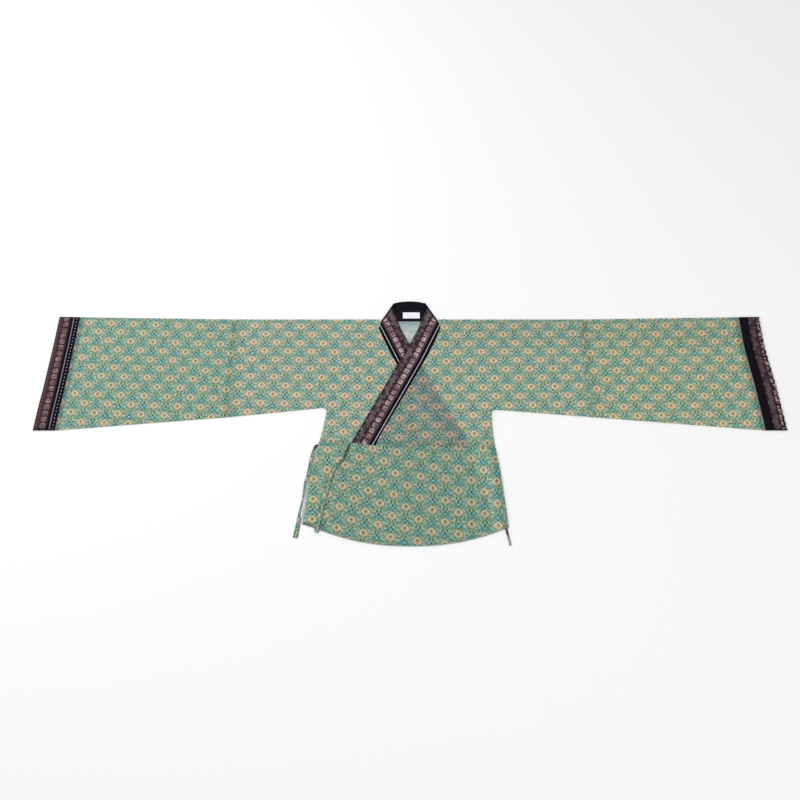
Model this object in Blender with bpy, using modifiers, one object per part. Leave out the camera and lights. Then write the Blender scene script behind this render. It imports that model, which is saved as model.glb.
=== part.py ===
"""A cross-collar hanfu top with a waist seam and a flared lower panel, laid flat.

X runs along the sleeves, Y from the hem to the collar, Z up from the surface that
the garment lies on. In the tables x is measured from the centre back seam and y
from the shoulder fold, so y is negative towards the hem. Side -1 is the wearer's
right half, side +1 the left half, whose front and collar lie on top.
"""
import math

import bmesh
import bpy
from mathutils import Vector

# Walls and the air between layers, in metres
WALL = 0.0010
TRIM_WALL = 0.0015
TIE_WALL = 0.0012
SEAM = 0.0003
LAP = 0.0004

# Heights of each layer's lower face above the surface
Z_UNDER = WALL + LAP
Z_OVER = 0.0034
Z_OVER_HEM = 0.0028

# Sleeves: distances from the centre and rise or fall of their edges
JOIN_X = 0.503
CUFF_TOP_X = 0.960
CUFF_LOW_X = 0.974
SPAN_TOP_X = 1.019
SPAN_LOW_X = 1.034
SHOULDER_RISE = 0.0163
UNDERARM_Y = -0.288
UNDERARM_X = 0.240
UNDERARM_SLOPE = -0.085
CUFF_LOW_Y = -0.3505
ARMPIT_RADIUS = 0.012

# The wearer's left cuff has a waved edge, drawn in between the roundels of its trim
CUFF_WAVE = 0.0022
CUFF_WAVES = 19
CUFF_WAVE_LEVELS = 76

# Body
WAIST_Y = -0.3925
WAIST_SLOPE = -0.029
HEM_Y = -0.676
HEM_RISE = 0.056
HEM_HALF_WIDTH = 0.267
HEM_POWER = 2.2
FRONT_HEM_LIFT = 0.0025
NECK_TOP_Y = 0.061
BACK_SEAM_Y = -0.0065
FRONT_SEAM_X = 0.003

# The middle of the laid garment, which the part's origin lies under
MID_Y = (NECK_TOP_Y + HEM_Y) / 2

# Half width of the body at the armpit, between armpit and waist, and at the waist
SIDE_SEAM = {
    -1: {"armpit": 0.232, "flank": 0.239, "waist": 0.2475},
    +1: {"armpit": 0.228, "flank": 0.2285, "waist": 0.2335},
}

# Lower panels: x of each side edge by the share of the way from waist to hem
SKIRT_ROWS = (0.0, 0.1, 0.2, 0.32, 0.5, 0.75, 1.0)
SKIRT_EDGE = {
    "right side": (-0.2490, -0.2528, -0.2572, -0.2640, -0.2715, -0.2755, -0.2817),
    "left side": (0.2335, 0.2370, 0.2398, 0.2430, 0.2465, 0.2515, 0.2555),
    "over front": (-0.1575, -0.1684, -0.1766, -0.1988, -0.2116, -0.2258, -0.2350),
    "under front": (0.1575, 0.1640, 0.1710, 0.1800, 0.1930, 0.2070, 0.2150),
}

# Points between which a half is drawn: x along the underarm, across the body below
# the armpit, along the shoulder and round the back of the neck
UNDERARM_POINTS = (JOIN_X, 0.42, 0.34, 0.28)
BODY_POINTS = (0.195, 0.165, 0.125, 0.105, 0.075, 0.045)
SHOULDER_POINTS = (0.150, 0.0838)
BACK_NECK_POINTS = (0.0832, 0.060, 0.040, 0.020)

# Shares of the way down a piece at which its rows of points lie
HALF_LEVELS = (0.0, 0.25, 0.5, 0.75, 1.0)
SLEEVE_LEVELS = (0.0, 0.33, 0.67, 1.0)
OVERLAP_LEVELS = (0.0, 0.33, 0.67, 1.0)
OVERLAP_SHARES = (0.0, 0.5, 1.0)
SKIRT_STEPS = 8

# Angles in degrees at which a round turn has its points
FOLD_TURN = (90.0, 30.0, -30.0, -90.0)
ARMPIT_TURN = (90.0, 120.0, 150.0, 180.0)

# Collar, for the side that lies on top; the other side is its mirror. It is cut off
# at the waist seam, from its seam edge to its neck edge, and its stations run from
# the overlap up to the fold at the side of the neck. Columns: seam edge x, y; neck
# edge x, y; lower face when on top; lower face when underneath.
COLLAR_WAIST = ((-0.0946, -0.3895), (-0.1599, -0.3876))
COLLAR_STATIONS = (
    (0.0400, -0.1410, -0.0155, -0.1120, 0.0034, 0.0014),
    (0.0600, -0.1000, 0.0050, -0.0740, 0.0034, 0.0015),
    (0.0800, -0.0530, 0.0250, -0.0320, 0.0029, 0.0016),
    (0.0880, -0.0290, 0.0360, 0.0000, 0.0023, 0.0018),
    (0.0812, -0.0065, 0.0420, 0.0250, 0.0019, 0.0019),
    (0.0812, -0.0065, 0.0445, 0.0545, 0.0019, 0.0019),
)
COLLAR_DIAGONAL_STEPS = 5
# Back of the neck from fold to fold: seam edge x, top edge x, top edge y
COLLAR_BACK = (
    (0.0812, 0.0445, 0.0545),
    (0.0500, 0.0300, 0.0585),
    (0.0250, 0.0150, 0.0603),
    (0.0000, 0.0000, NECK_TOP_Y),
)
COLLAR_ACROSS = 3

# Ties: x, y and width along the middle line, and the lower face's height
TIE_SIDE = (
    (-0.2522, -0.3815, 0.0060, 0.0),
    (-0.2565, -0.3970, 0.0066, 0.0),
    (-0.2660, -0.4300, 0.0095, 0.0),
    (-0.2738, -0.4800, 0.0085, 0.0),
    (-0.2794, -0.4990, 0.0076, 0.0),
    (-0.2818, -0.5130, 0.0056, 0.0),
    (-0.2844, -0.5410, 0.0042, 0.0),
    (-0.2874, -0.5610, 0.0040, 0.0),
    (-0.2918, -0.5870, 0.0056, 0.0),
    (-0.2938, -0.6125, 0.0104, 0.0),
    (-0.3000, -0.6530, 0.0122, 0.0),
)
TIE_COLLAR = (
    (-0.1642, -0.3930, 0.0050, 0.0028),
    (-0.1728, -0.4130, 0.0052, 0.0028),
    (-0.1824, -0.4385, 0.0052, 0.0028),
    (-0.1950, -0.4535, 0.0066, 0.0028),
    (-0.2072, -0.4687, 0.0100, 0.0028),
    (-0.2213, -0.5140, 0.0140, 0.0028),
    (-0.2350, -0.5780, 0.0128, 0.0028),
    (-0.2413, -0.6150, 0.0118, 0.0028),
    (-0.2455, -0.6390, 0.0100, 0.0024),
)
TIE_INNER = (
    (0.2272, -0.4080, 0.0080, 0.0013),
    (0.2335, -0.4800, 0.0090, 0.0013),
    (0.2400, -0.5600, 0.0080, 0.0013),
    (0.2480, -0.6200, 0.0060, 0.0013),
    (0.2512, -0.6400, 0.0045, 0.0013),
    (0.2556, -0.6590, 0.0045, 0.0011),
    (0.2580, -0.6735, 0.0045, 0.0008),
)

# Neck labels: half widths at the lower and upper edge, lower and upper y
LABEL_BAND = (0.0330, 0.0365, -0.0060, 0.0260)
LABEL_TAG = (0.0245, 0.0245, 0.0020, 0.0220)
LABEL_TAG_SHIFT = 0.0050

# Surface colour, roughness and metallic value of each cloth
FINISH = {
    "printed cloth": ((0.20, 0.37, 0.32, 1.0), 0.75, 0.0),
    "woven trim": ((0.10, 0.06, 0.06, 1.0), 0.60, 0.0),
    "dark label": ((0.02, 0.02, 0.03, 1.0), 0.65, 0.0),
    "white label": ((0.75, 0.76, 0.80, 1.0), 0.60, 0.0),
}


def lerp(a, b, t):
    return a + (b - a) * t


def smooth(low, high, value):
    """0 below low, 1 above high, and an even S between."""
    t = min(max((value - low) / (high - low), 0.0), 1.0)
    return t * t * (3.0 - 2.0 * t)


def shoulder_y(x):
    """Top fold of the sleeve, level to mid sleeve and then rising to the cuff."""
    return SHOULDER_RISE * max(abs(x) - JOIN_X, 0.0)


def underarm_y(x):
    return max(UNDERARM_Y + UNDERARM_SLOPE * (abs(x) - UNDERARM_X), CUFF_LOW_Y)


def waist_y(x):
    return WAIST_Y + WAIST_SLOPE * x


def hem_y(x):
    return HEM_Y + HEM_RISE * (abs(x) / HEM_HALF_WIDTH) ** HEM_POWER


def front_z(side, x, y):
    """Lower face of the front cloth: the left half climbs over the under layers."""
    if side < 0:
        return Z_UNDER
    over_body = 1.0 - smooth(0.22, 0.42, abs(x))
    below_neck = smooth(0.0, 0.10, -y)
    return lerp(Z_UNDER, Z_OVER, over_body * below_neck)


def finish_material(name, finish):
    colour, roughness, metallic = FINISH[finish]
    material = bpy.data.materials.new(name)
    material.use_nodes = True
    shader = material.node_tree.nodes["Principled BSDF"]
    shader.inputs["Base Color"].default_value = colour
    shader.inputs["Roughness"].default_value = roughness
    shader.inputs["Metallic"].default_value = metallic
    return material


def patch(mesh, rows, flip=False):
    """Quads between rows of points; rows run round the cloth, so its outside is
    on one hand all the way: up the back, over the fold and down the front."""
    grid = [[mesh.verts.new(point) for point in row] for row in rows]
    for upper, lower in zip(grid, grid[1:]):
        for k in range(len(upper) - 1):
            corners = [upper[k], lower[k], lower[k + 1], upper[k + 1]]
            if flip:
                corners.reverse()
            mesh.faces.new(corners)


def cloth(name, patches, wall, finish, flip=False):
    """One piece of cloth: joined patches of its inner face, thickened outwards."""
    mesh = bmesh.new()
    for rows in patches:
        patch(mesh, rows, flip)
    bmesh.ops.remove_doubles(mesh, verts=mesh.verts, dist=1e-6)
    bmesh.ops.dissolve_degenerate(mesh, dist=1e-6, edges=mesh.edges)
    bmesh.ops.translate(mesh, verts=mesh.verts, vec=Vector((0.0, -MID_Y, 0.0)))
    data = bpy.data.meshes.new(name)
    mesh.to_mesh(data)
    mesh.free()
    data.materials.append(finish_material(name, finish))
    piece = bpy.data.objects.new(name, data)
    garment.objects.link(piece)
    thicken = piece.modifiers.new("wall", "SOLIDIFY")
    thicken.thickness = wall
    thicken.offset = 1.0
    return piece


def fold_rows(line, outward, z_from, z_to):
    """Round turn from one layer to the other along a line of (x, y) points."""
    rows = []
    for angle in FOLD_TURN:
        turn = math.radians(angle)
        row = []
        for (x, y), (nx, ny), upper, lower in zip(line, outward, z_from, z_to):
            radius = (upper - lower) / 2
            reach = abs(radius) * math.cos(turn)
            z = (upper + lower) / 2 + radius * math.sin(turn)
            row.append((x + nx * reach, y + ny * reach, z))
        rows.append(row)
    return rows


def across(line):
    """Unit normals of a polyline, on the left of its direction."""
    normals = []
    for k in range(len(line)):
        before = Vector(line[max(k - 1, 0)])
        after = Vector(line[min(k + 1, len(line) - 1)])
        along = (after - before).normalized()
        normals.append((-along.y, along.x))
    return normals


def tube(name, side, ends, wall, finish, steps, levels=SLEEVE_LEVELS, wave=0.0):
    """Flattened sleeve length between two end lines (top x, low x).

    A wave moves the outer end in and out, evenly from the top fold to the low one.
    """
    inner_top = wall + LAP
    tuck = wall + LAP / 2
    columns = []
    for k in range(steps + 1):
        t = k / steps
        x_top = lerp(ends[0][0], ends[1][0], t)
        x_low = lerp(ends[0][1], ends[1][1], t)
        columns.append((
            (side * x_top, shoulder_y(x_top) - tuck),
            (side * x_low, underarm_y(x_low) + tuck),
        ))
    if side < 0:
        columns.reverse()

    def layer(z, shares):
        rows = []
        for v in shares:
            row = [(lerp(top[0], low[0], v), lerp(top[1], low[1], v), z) for top, low in columns]
            x_end, y_end = row[-1][:2]
            drawn_in = wave * math.sin(math.pi * CUFF_WAVES * v) ** 2
            row[-1] = (x_end - drawn_in, y_end, z)
            rows.append(row)
        return rows

    tops = [top for top, low in columns]
    lows = [low for top, low in columns]
    over = [inner_top] * len(columns)
    under = [wall] * len(columns)
    turn_top = fold_rows(tops, [(0.0, 1.0)] * len(tops), under, over)
    turn_low = fold_rows(lows, [(0.0, -1.0)] * len(lows), over, under)
    patches = [
        layer(wall, reversed(levels)),
        turn_top,
        layer(inner_top, levels),
        turn_low,
    ]
    return cloth(name, patches, wall, finish)


def underarm_line(side):
    """Outline from the sleeve join along the underarm, round the armpit, to the waist."""
    seam = SIDE_SEAM[side]
    centre_x = seam["armpit"] + ARMPIT_RADIUS
    centre_y = underarm_y(centre_x) - ARMPIT_RADIUS
    sleeve = [(x, underarm_y(x)) for x in UNDERARM_POINTS]
    bend = []
    for angle in ARMPIT_TURN:
        turn = math.radians(angle)
        bend.append((
            centre_x + ARMPIT_RADIUS * math.cos(turn),
            centre_y + ARMPIT_RADIUS * math.sin(turn),
        ))
    flank_y = lerp(centre_y, waist_y(side * seam["waist"]), 0.5)
    flank = [(seam["flank"], flank_y), (seam["waist"], waist_y(side * seam["waist"]))]
    return sleeve + bend, flank


def half(name, side):
    """Front, back and inner sleeve of one side, in one cloth over the shoulder."""
    reach, flank = underarm_line(side)
    outline = reach + flank
    # The line runs towards the centre and down, so the outside is on its right.
    outward = [(-nx, -ny) for nx, ny in across(outline)]
    tucked = []
    for (x, y), (nx, ny) in zip(outline, outward):
        depth = WALL + (front_z(side, x, y) - WALL) / 2
        tucked.append((x - nx * depth, y - ny * depth))
    sleeve_low = tucked[: len(reach)]
    armpit = sleeve_low[-1]
    flank_in = tucked[len(reach):]
    tuck = WALL + LAP / 2

    neck = [(row[0], row[1]) for row in COLLAR_STATIONS[:4]]
    neck.reverse()
    waist_end = Vector(COLLAR_WAIST[0])
    share = (neck[-1][0] - FRONT_SEAM_X) / (neck[-1][0] - waist_end.x)
    neck.append(tuple(Vector(neck[-1]).lerp(waist_end, share)))
    # This line runs down to the centre front, so the body is on its left.
    neck = [(x + nx * SEAM, y + ny * SEAM) for (x, y), (nx, ny) in zip(neck, across(neck))]
    neck[-1] = (FRONT_SEAM_X + SEAM, neck[-1][1] - SEAM)

    shoulder = [(x, shoulder_y(x) - tuck) for x, y in sleeve_low]
    shoulder += [(x, -tuck) for x in SHOULDER_POINTS]
    back_neck_y = BACK_SEAM_Y - SEAM
    front_top = shoulder + neck
    front_low = sleeve_low + [(x, armpit[1]) for x in BODY_POINTS + (FRONT_SEAM_X + SEAM,)]
    back_top = shoulder + [(x, back_neck_y) for x in BACK_NECK_POINTS + (SEAM / 2,)]
    back_low = sleeve_low + [(x, armpit[1]) for x in BODY_POINTS + (SEAM / 2,)]
    body = len(sleeve_low) - 1

    def waist_row(lows):
        row = [flank_in[1]]
        for x, y in lows[body + 1:]:
            row.append((x, waist_y(side * x)))
        return row

    def flank_row(lows, waist):
        row = [flank_in[0]]
        for (x, y), (x_waist, y_waist) in zip(lows[body + 1:], waist[1:]):
            row.append((lerp(x, x_waist, 0.5), lerp(y, y_waist, 0.5)))
        return row

    def grid(tops, lows, shares, height):
        rows = []
        for v in shares:
            row = []
            for (x_top, y_top), (x_low, y_low) in zip(tops, lows):
                x = lerp(x_top, x_low, v)
                y = lerp(y_top, y_low, v)
                row.append((side * x, y, height(x, y)))
            rows.append(row)
        return rows

    def lower(lows, height):
        waist = waist_row(lows)
        rows = [lows[body:], flank_row(lows, waist), waist]
        return [[(side * x, y, height(x, y)) for x, y in row] for row in rows]

    def front(x, y):
        return front_z(side, x, y)

    def back(x, y):
        return WALL

    down = lower(back_low, back)
    down.reverse()

    def turned(line, normals, start, end):
        mirrored = [(side * x, y) for x, y in line]
        faced = [(side * nx, ny) for nx, ny in normals]
        return fold_rows(mirrored, faced, start, end)

    shoulder_front = [front(x, y) for x, y in shoulder]
    edge_front = [front(x, y) for x, y in tucked]
    patches = [
        down,
        grid(back_top, back_low, reversed(HALF_LEVELS), back),
        turned(shoulder, [(0.0, 1.0)] * len(shoulder), [WALL] * len(shoulder), shoulder_front),
        grid(front_top, front_low, HALF_LEVELS, front),
        lower(front_low, front),
        turned(tucked, outward, edge_front, [WALL] * len(tucked)),
    ]
    return cloth(name, patches, WALL, "printed cloth", flip=side > 0)


def overlap(name, side):
    """Wedge between the centre-front seam, the collar's seam edge and the waist."""
    top = Vector(COLLAR_STATIONS[0][:2])
    end = Vector(COLLAR_WAIST[0])
    share = (top.x - FRONT_SEAM_X) / (top.x - end.x)
    point = top.lerp(end, share)
    inset = SEAM * 2
    z = Z_OVER if side > 0 else Z_UNDER
    rows = []
    for v in OVERLAP_LEVELS:
        seam_x = lerp(point.x, end.x, v) + inset * (1.0 + v)
        y = lerp(point.y - inset * 2, waist_y(side * end.x), v)
        foot = waist_y(side * FRONT_SEAM_X)
        y_front = lerp(point.y - inset * 2, foot, v)
        rows.append([
            (side * lerp(min(seam_x, FRONT_SEAM_X), FRONT_SEAM_X, u), lerp(y, y_front, u), z)
            for u in OVERLAP_SHARES
        ])
    return cloth(name, [rows], WALL, "printed cloth", flip=side < 0)


def skirt(name, left, right, z_at, lift):
    """Flared lower panel between two side edges, from the waist seam to the hem."""
    left_edge = SKIRT_EDGE[left]
    right_edge = SKIRT_EDGE[right]
    rows = []
    for v, x_left, x_right in zip(SKIRT_ROWS, left_edge, right_edge):
        row = []
        for k in range(SKIRT_STEPS + 1):
            u = k / SKIRT_STEPS
            x = lerp(x_left, x_right, u)
            y_top = waist_y(lerp(left_edge[0], right_edge[0], u)) - SEAM
            y_low = hem_y(lerp(left_edge[-1], right_edge[-1], u)) + lift
            row.append((x, lerp(y_top, y_low, v), z_at(x, v)))
        rows.append(row)
    return cloth(name, [rows], WALL, "printed cloth")


def over_skirt_z(x, v):
    return lerp(front_z(+1, x, WAIST_Y), Z_OVER_HEM, smooth(0.0, 0.32, v))


def collar_section(seam_x, seam_y, neck_x, neck_y, z):
    points = []
    for k in range(COLLAR_ACROSS + 1):
        u = k / COLLAR_ACROSS
        points.append((lerp(seam_x, neck_x, u), lerp(seam_y, neck_y, u), z))
    return points


def collar_front(side):
    """Sections of one front end of the band, from the waist to the neck fold."""
    column = 4 if side > 0 else 5
    first = COLLAR_STATIONS[0]
    (seam_x, seam_y), (neck_x, neck_y) = COLLAR_WAIST
    sections = []
    for k in range(COLLAR_DIAGONAL_STEPS):
        t = k / COLLAR_DIAGONAL_STEPS
        sections.append(collar_section(
            side * lerp(seam_x, first[0], t), lerp(seam_y, first[1], t),
            side * lerp(neck_x, first[2], t), lerp(neck_y, first[3], t), first[column],
        ))
    for row in COLLAR_STATIONS:
        sections.append(collar_section(side * row[0], row[1], side * row[2], row[3], row[column]))
    return sections


def collar():
    """The whole band: over end, fold, back of the neck, fold, under end."""
    rising = collar_front(+1)
    falling = collar_front(-1)
    falling.reverse()
    back = []
    for seam_x, top_x, top_y in COLLAR_BACK:
        back.append(collar_section(seam_x, BACK_SEAM_Y, top_x, top_y, TRIM_WALL))
    mirrored = [[(-x, y, z) for x, y, z in section] for section in back[:-1]]
    mirrored.reverse()
    back += mirrored

    def neck_fold(section, side, start, end):
        line = [(x, y) for x, y, z in section]
        along = (Vector(line[-1]) - Vector(line[0])).normalized()
        normal = (along.y, -along.x) if side > 0 else (-along.y, along.x)
        count = len(line)
        return fold_rows(line, [normal] * count, [start] * count, [end] * count)

    fold_top = COLLAR_STATIONS[-1][4]
    right_turn = neck_fold(rising[-1], +1, fold_top, TRIM_WALL)
    left_turn = neck_fold(falling[0], -1, TRIM_WALL, fold_top)
    patches = [rising, right_turn, back, left_turn, falling]
    return cloth("collar", patches, TRIM_WALL, "woven trim")


def tie(name, table):
    """Narrow band of the same cloth, lying along its middle line."""
    line = [(x, y) for x, y, width, z in table]
    rows = []
    for (x, y, width, z), (nx, ny) in zip(table, across(line)):
        rows.append([
            (x - nx * width / 2, y - ny * width / 2, z),
            (x, y, z),
            (x + nx * width / 2, y + ny * width / 2, z),
        ])
    return cloth(name, [rows], TIE_WALL, "printed cloth")


def label(name, sizes, shift, z, finish):
    low_half, top_half, y_low, y_top = sizes
    rows = []
    for v in (0.0, 1.0):
        reach = lerp(top_half, low_half, v)
        rows.append([
            (shift + reach * u, lerp(y_top, y_low, v), z) for u in (-1.0, 0.0, 1.0)
        ])
    return cloth(name, [rows], WALL, finish)


def build():
    join = (JOIN_X + SEAM, JOIN_X + SEAM)
    cuff_seam = (CUFF_TOP_X, CUFF_LOW_X)
    band = (CUFF_TOP_X + SEAM, CUFF_LOW_X + SEAM)
    opening = (SPAN_TOP_X, SPAN_LOW_X)
    for side, word in ((-1, "right"), (+1, "left")):
        half("half_" + word, side)
        tube("sleeve_end_" + word, side, (join, cuff_seam), WALL, "printed cloth", 5)
    tube("cuff_right", -1, (band, opening), TRIM_WALL, "woven trim", 3)
    waved = [k / CUFF_WAVE_LEVELS for k in range(CUFF_WAVE_LEVELS + 1)]
    tube("cuff_left", +1, (band, opening), TRIM_WALL, "woven trim", 3, waved, CUFF_WAVE)
    overlap("overlap_over", +1)
    overlap("overlap_under", -1)
    skirt("skirt_back", "right side", "left side", lambda x, v: 0.0, 0.0)
    skirt("skirt_under", "right side", "under front", lambda x, v: Z_UNDER, FRONT_HEM_LIFT)
    skirt("skirt_over", "over front", "left side", over_skirt_z, FRONT_HEM_LIFT)
    collar()
    tie("tie_side", TIE_SIDE)
    tie("tie_collar", TIE_COLLAR)
    tie("tie_inner", TIE_INNER)
    band_z = TRIM_WALL + SEAM
    label("label_band", LABEL_BAND, 0.0, band_z, "dark label")
    label("label_tag", LABEL_TAG, LABEL_TAG_SHIFT, band_z + WALL + SEAM, "white label")


for old in list(bpy.data.objects):
    bpy.data.objects.remove(old, do_unlink=True)
garment = bpy.data.collections.new("cross_collar_top")
bpy.context.scene.collection.children.link(garment)
build()
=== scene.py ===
"""A cross-collar hanfu top laid flat: printed cotton, woven trim, ties and a plain studio.

Each piece is a thin cloth shell on the form of the solid that it replaces. Sizes are
in metres and in the garment's own directions: x from the centre back seam, y from
the shoulder fold and negative towards the hem, z up from the floor. Side -1 is the
wearer's right half and side +1 the left half, which lies on top.
"""

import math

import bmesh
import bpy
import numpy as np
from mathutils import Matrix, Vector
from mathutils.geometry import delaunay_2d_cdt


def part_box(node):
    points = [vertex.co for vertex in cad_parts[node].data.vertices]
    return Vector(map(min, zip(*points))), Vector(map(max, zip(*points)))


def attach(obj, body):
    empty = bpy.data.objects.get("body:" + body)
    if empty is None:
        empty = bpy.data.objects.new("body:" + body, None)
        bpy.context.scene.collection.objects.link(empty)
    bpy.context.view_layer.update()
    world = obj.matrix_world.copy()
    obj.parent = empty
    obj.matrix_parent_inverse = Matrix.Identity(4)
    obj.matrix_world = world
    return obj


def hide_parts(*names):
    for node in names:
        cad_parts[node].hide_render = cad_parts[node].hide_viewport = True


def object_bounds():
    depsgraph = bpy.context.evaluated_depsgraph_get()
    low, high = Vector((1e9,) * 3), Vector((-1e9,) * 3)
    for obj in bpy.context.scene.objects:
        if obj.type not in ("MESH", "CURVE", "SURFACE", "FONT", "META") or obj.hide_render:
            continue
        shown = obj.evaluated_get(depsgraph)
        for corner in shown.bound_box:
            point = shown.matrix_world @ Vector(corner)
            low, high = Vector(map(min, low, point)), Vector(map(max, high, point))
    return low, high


bl_info = {
    "name": "Cross-collar hanfu top",
    "version": (1, 0, 0),
    "blender": (4, 5, 0),
    "location": "3D View > Sidebar > Hanfu top",
    "description": "Dresses a laid cross-collar top in printed cotton and woven trim",
    "category": "Object",
}

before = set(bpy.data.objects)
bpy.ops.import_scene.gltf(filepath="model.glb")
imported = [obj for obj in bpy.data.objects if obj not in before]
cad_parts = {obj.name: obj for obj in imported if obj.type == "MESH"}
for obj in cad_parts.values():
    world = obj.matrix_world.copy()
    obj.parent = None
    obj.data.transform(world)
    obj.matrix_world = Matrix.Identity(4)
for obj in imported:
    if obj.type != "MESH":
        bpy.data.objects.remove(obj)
CAD_LOW, CAD_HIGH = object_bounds()

# The wearer's two sides
WORDS = {-1: "right", +1: "left"}

# Walls, the air between layers, and each layer's lower face
CLOTH_WALL = 0.0010
TRIM_WALL = 0.0015
TIE_WALL = 0.0012
SEAM = 0.0003
LAP = 0.0004
Z_UNDER = CLOTH_WALL + LAP
Z_OVER = 0.0034
Z_OVER_HEM = 0.0028
# Distances out from the middle and down from the shoulder over which the over front climbs
CLIMB_OUT = (0.22, 0.42)
CLIMB_DOWN = (0.0, 0.10)

# Sleeves
JOIN_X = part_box("sleeve_end_left")[0].x - SEAM
CUFF_TOP_X = 0.960
CUFF_LOW_X = 0.974
SPAN_TOP_X = 1.019
SPAN_LOW_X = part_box("cuff_left")[1].x
SHOULDER_RISE = 0.0163
UNDERARM_Y = -0.288
UNDERARM_X = 0.240
UNDERARM_SLOPE = -0.085
CUFF_LOW_Y = -0.3505
ARMPIT_RADIUS = 0.012
ARMPIT_DEGREES = range(90, 181, 15)
UNDERARM_STATIONS = (JOIN_X, 0.42, 0.34, 0.28)
ARMPIT_LIFT = {-1: 0.006, +1: 0.0}
CUFF_WAVE = 0.0022
CUFF_WAVES = 19
# Shares across the cuff between which its wave dies in, and along a tube for its bow
WAVE_REACH = (0.6, 1.0)
BOW_REACH = 0.3
# How far the cuffs bow in towards the body: share of the way down; on the right; on the left
CUFF_BOW = (
    (0.00, 0.0000, 0.0012),
    (0.15, 0.0012, 0.0042),
    (0.30, 0.0020, 0.0058),
    (0.45, 0.0018, 0.0034),
    (0.62, 0.0017, 0.0010),
    (0.80, 0.0004, 0.0003),
    (1.00, 0.0000, 0.0000),
)

CUFF_BOW_STEPS = 8

# Body
WAIST_Y = -0.3925
WAIST_SLOPE = -0.029
HEM_Y = -0.676
HEM_RISE = 0.056
HEM_HALF_WIDTH = 0.267
HEM_POWER = 2.2
HEM_CURVE_END = 0.245
HEM_END_SLOPE = 0.31
FRONT_HEM_LIFT = 0.0025
BACK_SEAM_Y = -0.0065
FRONT_SEAM_X = 0.003
NECK_TOP_Y = 0.061
# The neck opening in the halves: its side end at the shoulder fold and at the back seam,
# and the height below which the front's edge follows the collar
NECK_SIDE_X = 0.0838
BACK_NECK_X = 0.0832
FRONT_NECK_Y = -0.012
# Each side's half width at the armpit, the flank and the waist
SIDE_SEAM = {-1: (0.2312, 0.2382, 0.2475), +1: (0.2252, 0.2256, 0.2304)}

# How far the shoulder fold lies behind the middle of the laid garment
SHOULDER_AT = CAD_HIGH.y - NECK_TOP_Y

# Steps between the rows of a lower panel's edges, and the share of the way down by which
# the over one has settled
SKIRT_EDGE_STEPS = 10
SKIRT_SETTLES = 0.32
# Lower panels: x of each side edge by the share of the way from waist to hem
SKIRT_ROWS = (0.0, 0.1, 0.2, 0.32, 0.5, 0.75, 1.0)
SKIRT_EDGE = {
    "right side": (-0.2490, -0.2528, -0.2572, -0.2640, -0.2715, -0.2755, -0.2817),
    "back right side": (-0.2490, -0.2565, -0.2612, -0.2685, -0.2765, -0.2818, -0.2886),
    "left side": (0.2304, 0.2340, 0.2376, 0.2415, 0.2455, 0.2508, 0.2555),
    "over front": (-0.1575, -0.1684, -0.1766, -0.1988, -0.2116, -0.2258, -0.2350),
    "under front": (0.1575, 0.1640, 0.1710, 0.1800, 0.1930, 0.2070, 0.2150),
}

# Collar stations from the waist to the fold at the side of the neck: seam edge x, y;
# neck edge x, y; lower face when on top; lower face when underneath
COLLAR_STATIONS = (
    (-0.0946, -0.3895, -0.1599, -0.3876, 0.0034, 0.0014),
    (0.0400, -0.1410, -0.0155, -0.1120, 0.0034, 0.0014),
    (0.0600, -0.1000, 0.0050, -0.0740, 0.0034, 0.0015),
    (0.0800, -0.0530, 0.0250, -0.0320, 0.0029, 0.0016),
    (0.0880, -0.0290, 0.0360, 0.0000, 0.0023, 0.0018),
    (0.0812, -0.0065, 0.0420, 0.0250, 0.0019, 0.0019),
    (0.0812, -0.0065, 0.0445, 0.0545, 0.0019, 0.0019),
)
# Back of the neck from fold to fold: seam edge x, top edge x, top edge y
COLLAR_BACK = (
    (0.0812, 0.0445, 0.0545),
    (0.0500, 0.0300, 0.0585),
    (0.0250, 0.0150, 0.0603),
    (0.0000, 0.0000, NECK_TOP_Y),
    (-0.0250, -0.0150, 0.0603),
    (-0.0500, -0.0300, 0.0585),
    (-0.0812, -0.0445, 0.0545),
)
# The line that the band's stripes follow, along its neck edge and past the fold
STRIPE_GUIDE = ((-0.1599, -0.3876), (-0.0155, -0.1120), (0.0360, 0.0000), (0.0660, 0.0650))
# What the band has at the back of the neck beyond its two guides
GUIDE_GAP = 0.05
BAND_WIDTH = 0.060
# Columns of the stations that hold the lower face of each end
COLLAR_FACE = {+1: 4, -1: 5}
# How far the seam edge of the over end reaches below the waist seam, and over how many sections
COLLAR_END_DIP = 0.007
COLLAR_DIP_SECTIONS = 8
# Sections of each end: along its straight, in each step of its bend, and at the neck fold
STRAIGHT_SECTIONS = 90
BEND_SECTIONS = 12
NECK_FOLD_SECTIONS = 8
# Steps between the stations at the back of the neck
NECK_STEPS = 6

# The collar's tie is gathered to a cord at its root, dark all across with painted shade, and
# opens out between these lengths
TIE_GATHER = (0.040, 0.080)
# How deep the painted shade along its edges is, by the length along it
TIE_EDGE_SHADE = (
    (0.000, 1.00),
    (0.110, 1.00),
    (0.135, 0.45),
    (0.175, 0.45),
    (0.195, 1.00),
    (0.225, 0.60),
    (0.245, 1.00),
)

# Where the ties are cut from the print, how high their middle stands, and the lower face
# above which they follow the creases beneath them
TIE_CUT_AT = (0.009, 0.010)
TIE_DOME = 0.0004
TIE_ON_TOP_Z = 0.002
# The least share of its flat width and length that a wedge's area is given as
LEAST_SHARE = 0.31
# How dark the painted shade at a tie's right edge is beside its left one
TIE_PALE_SIDE = 0.75
# Steps between a tie's rows, and points across it
TIE_STEPS = 10
TIE_POINTS = 9

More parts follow.
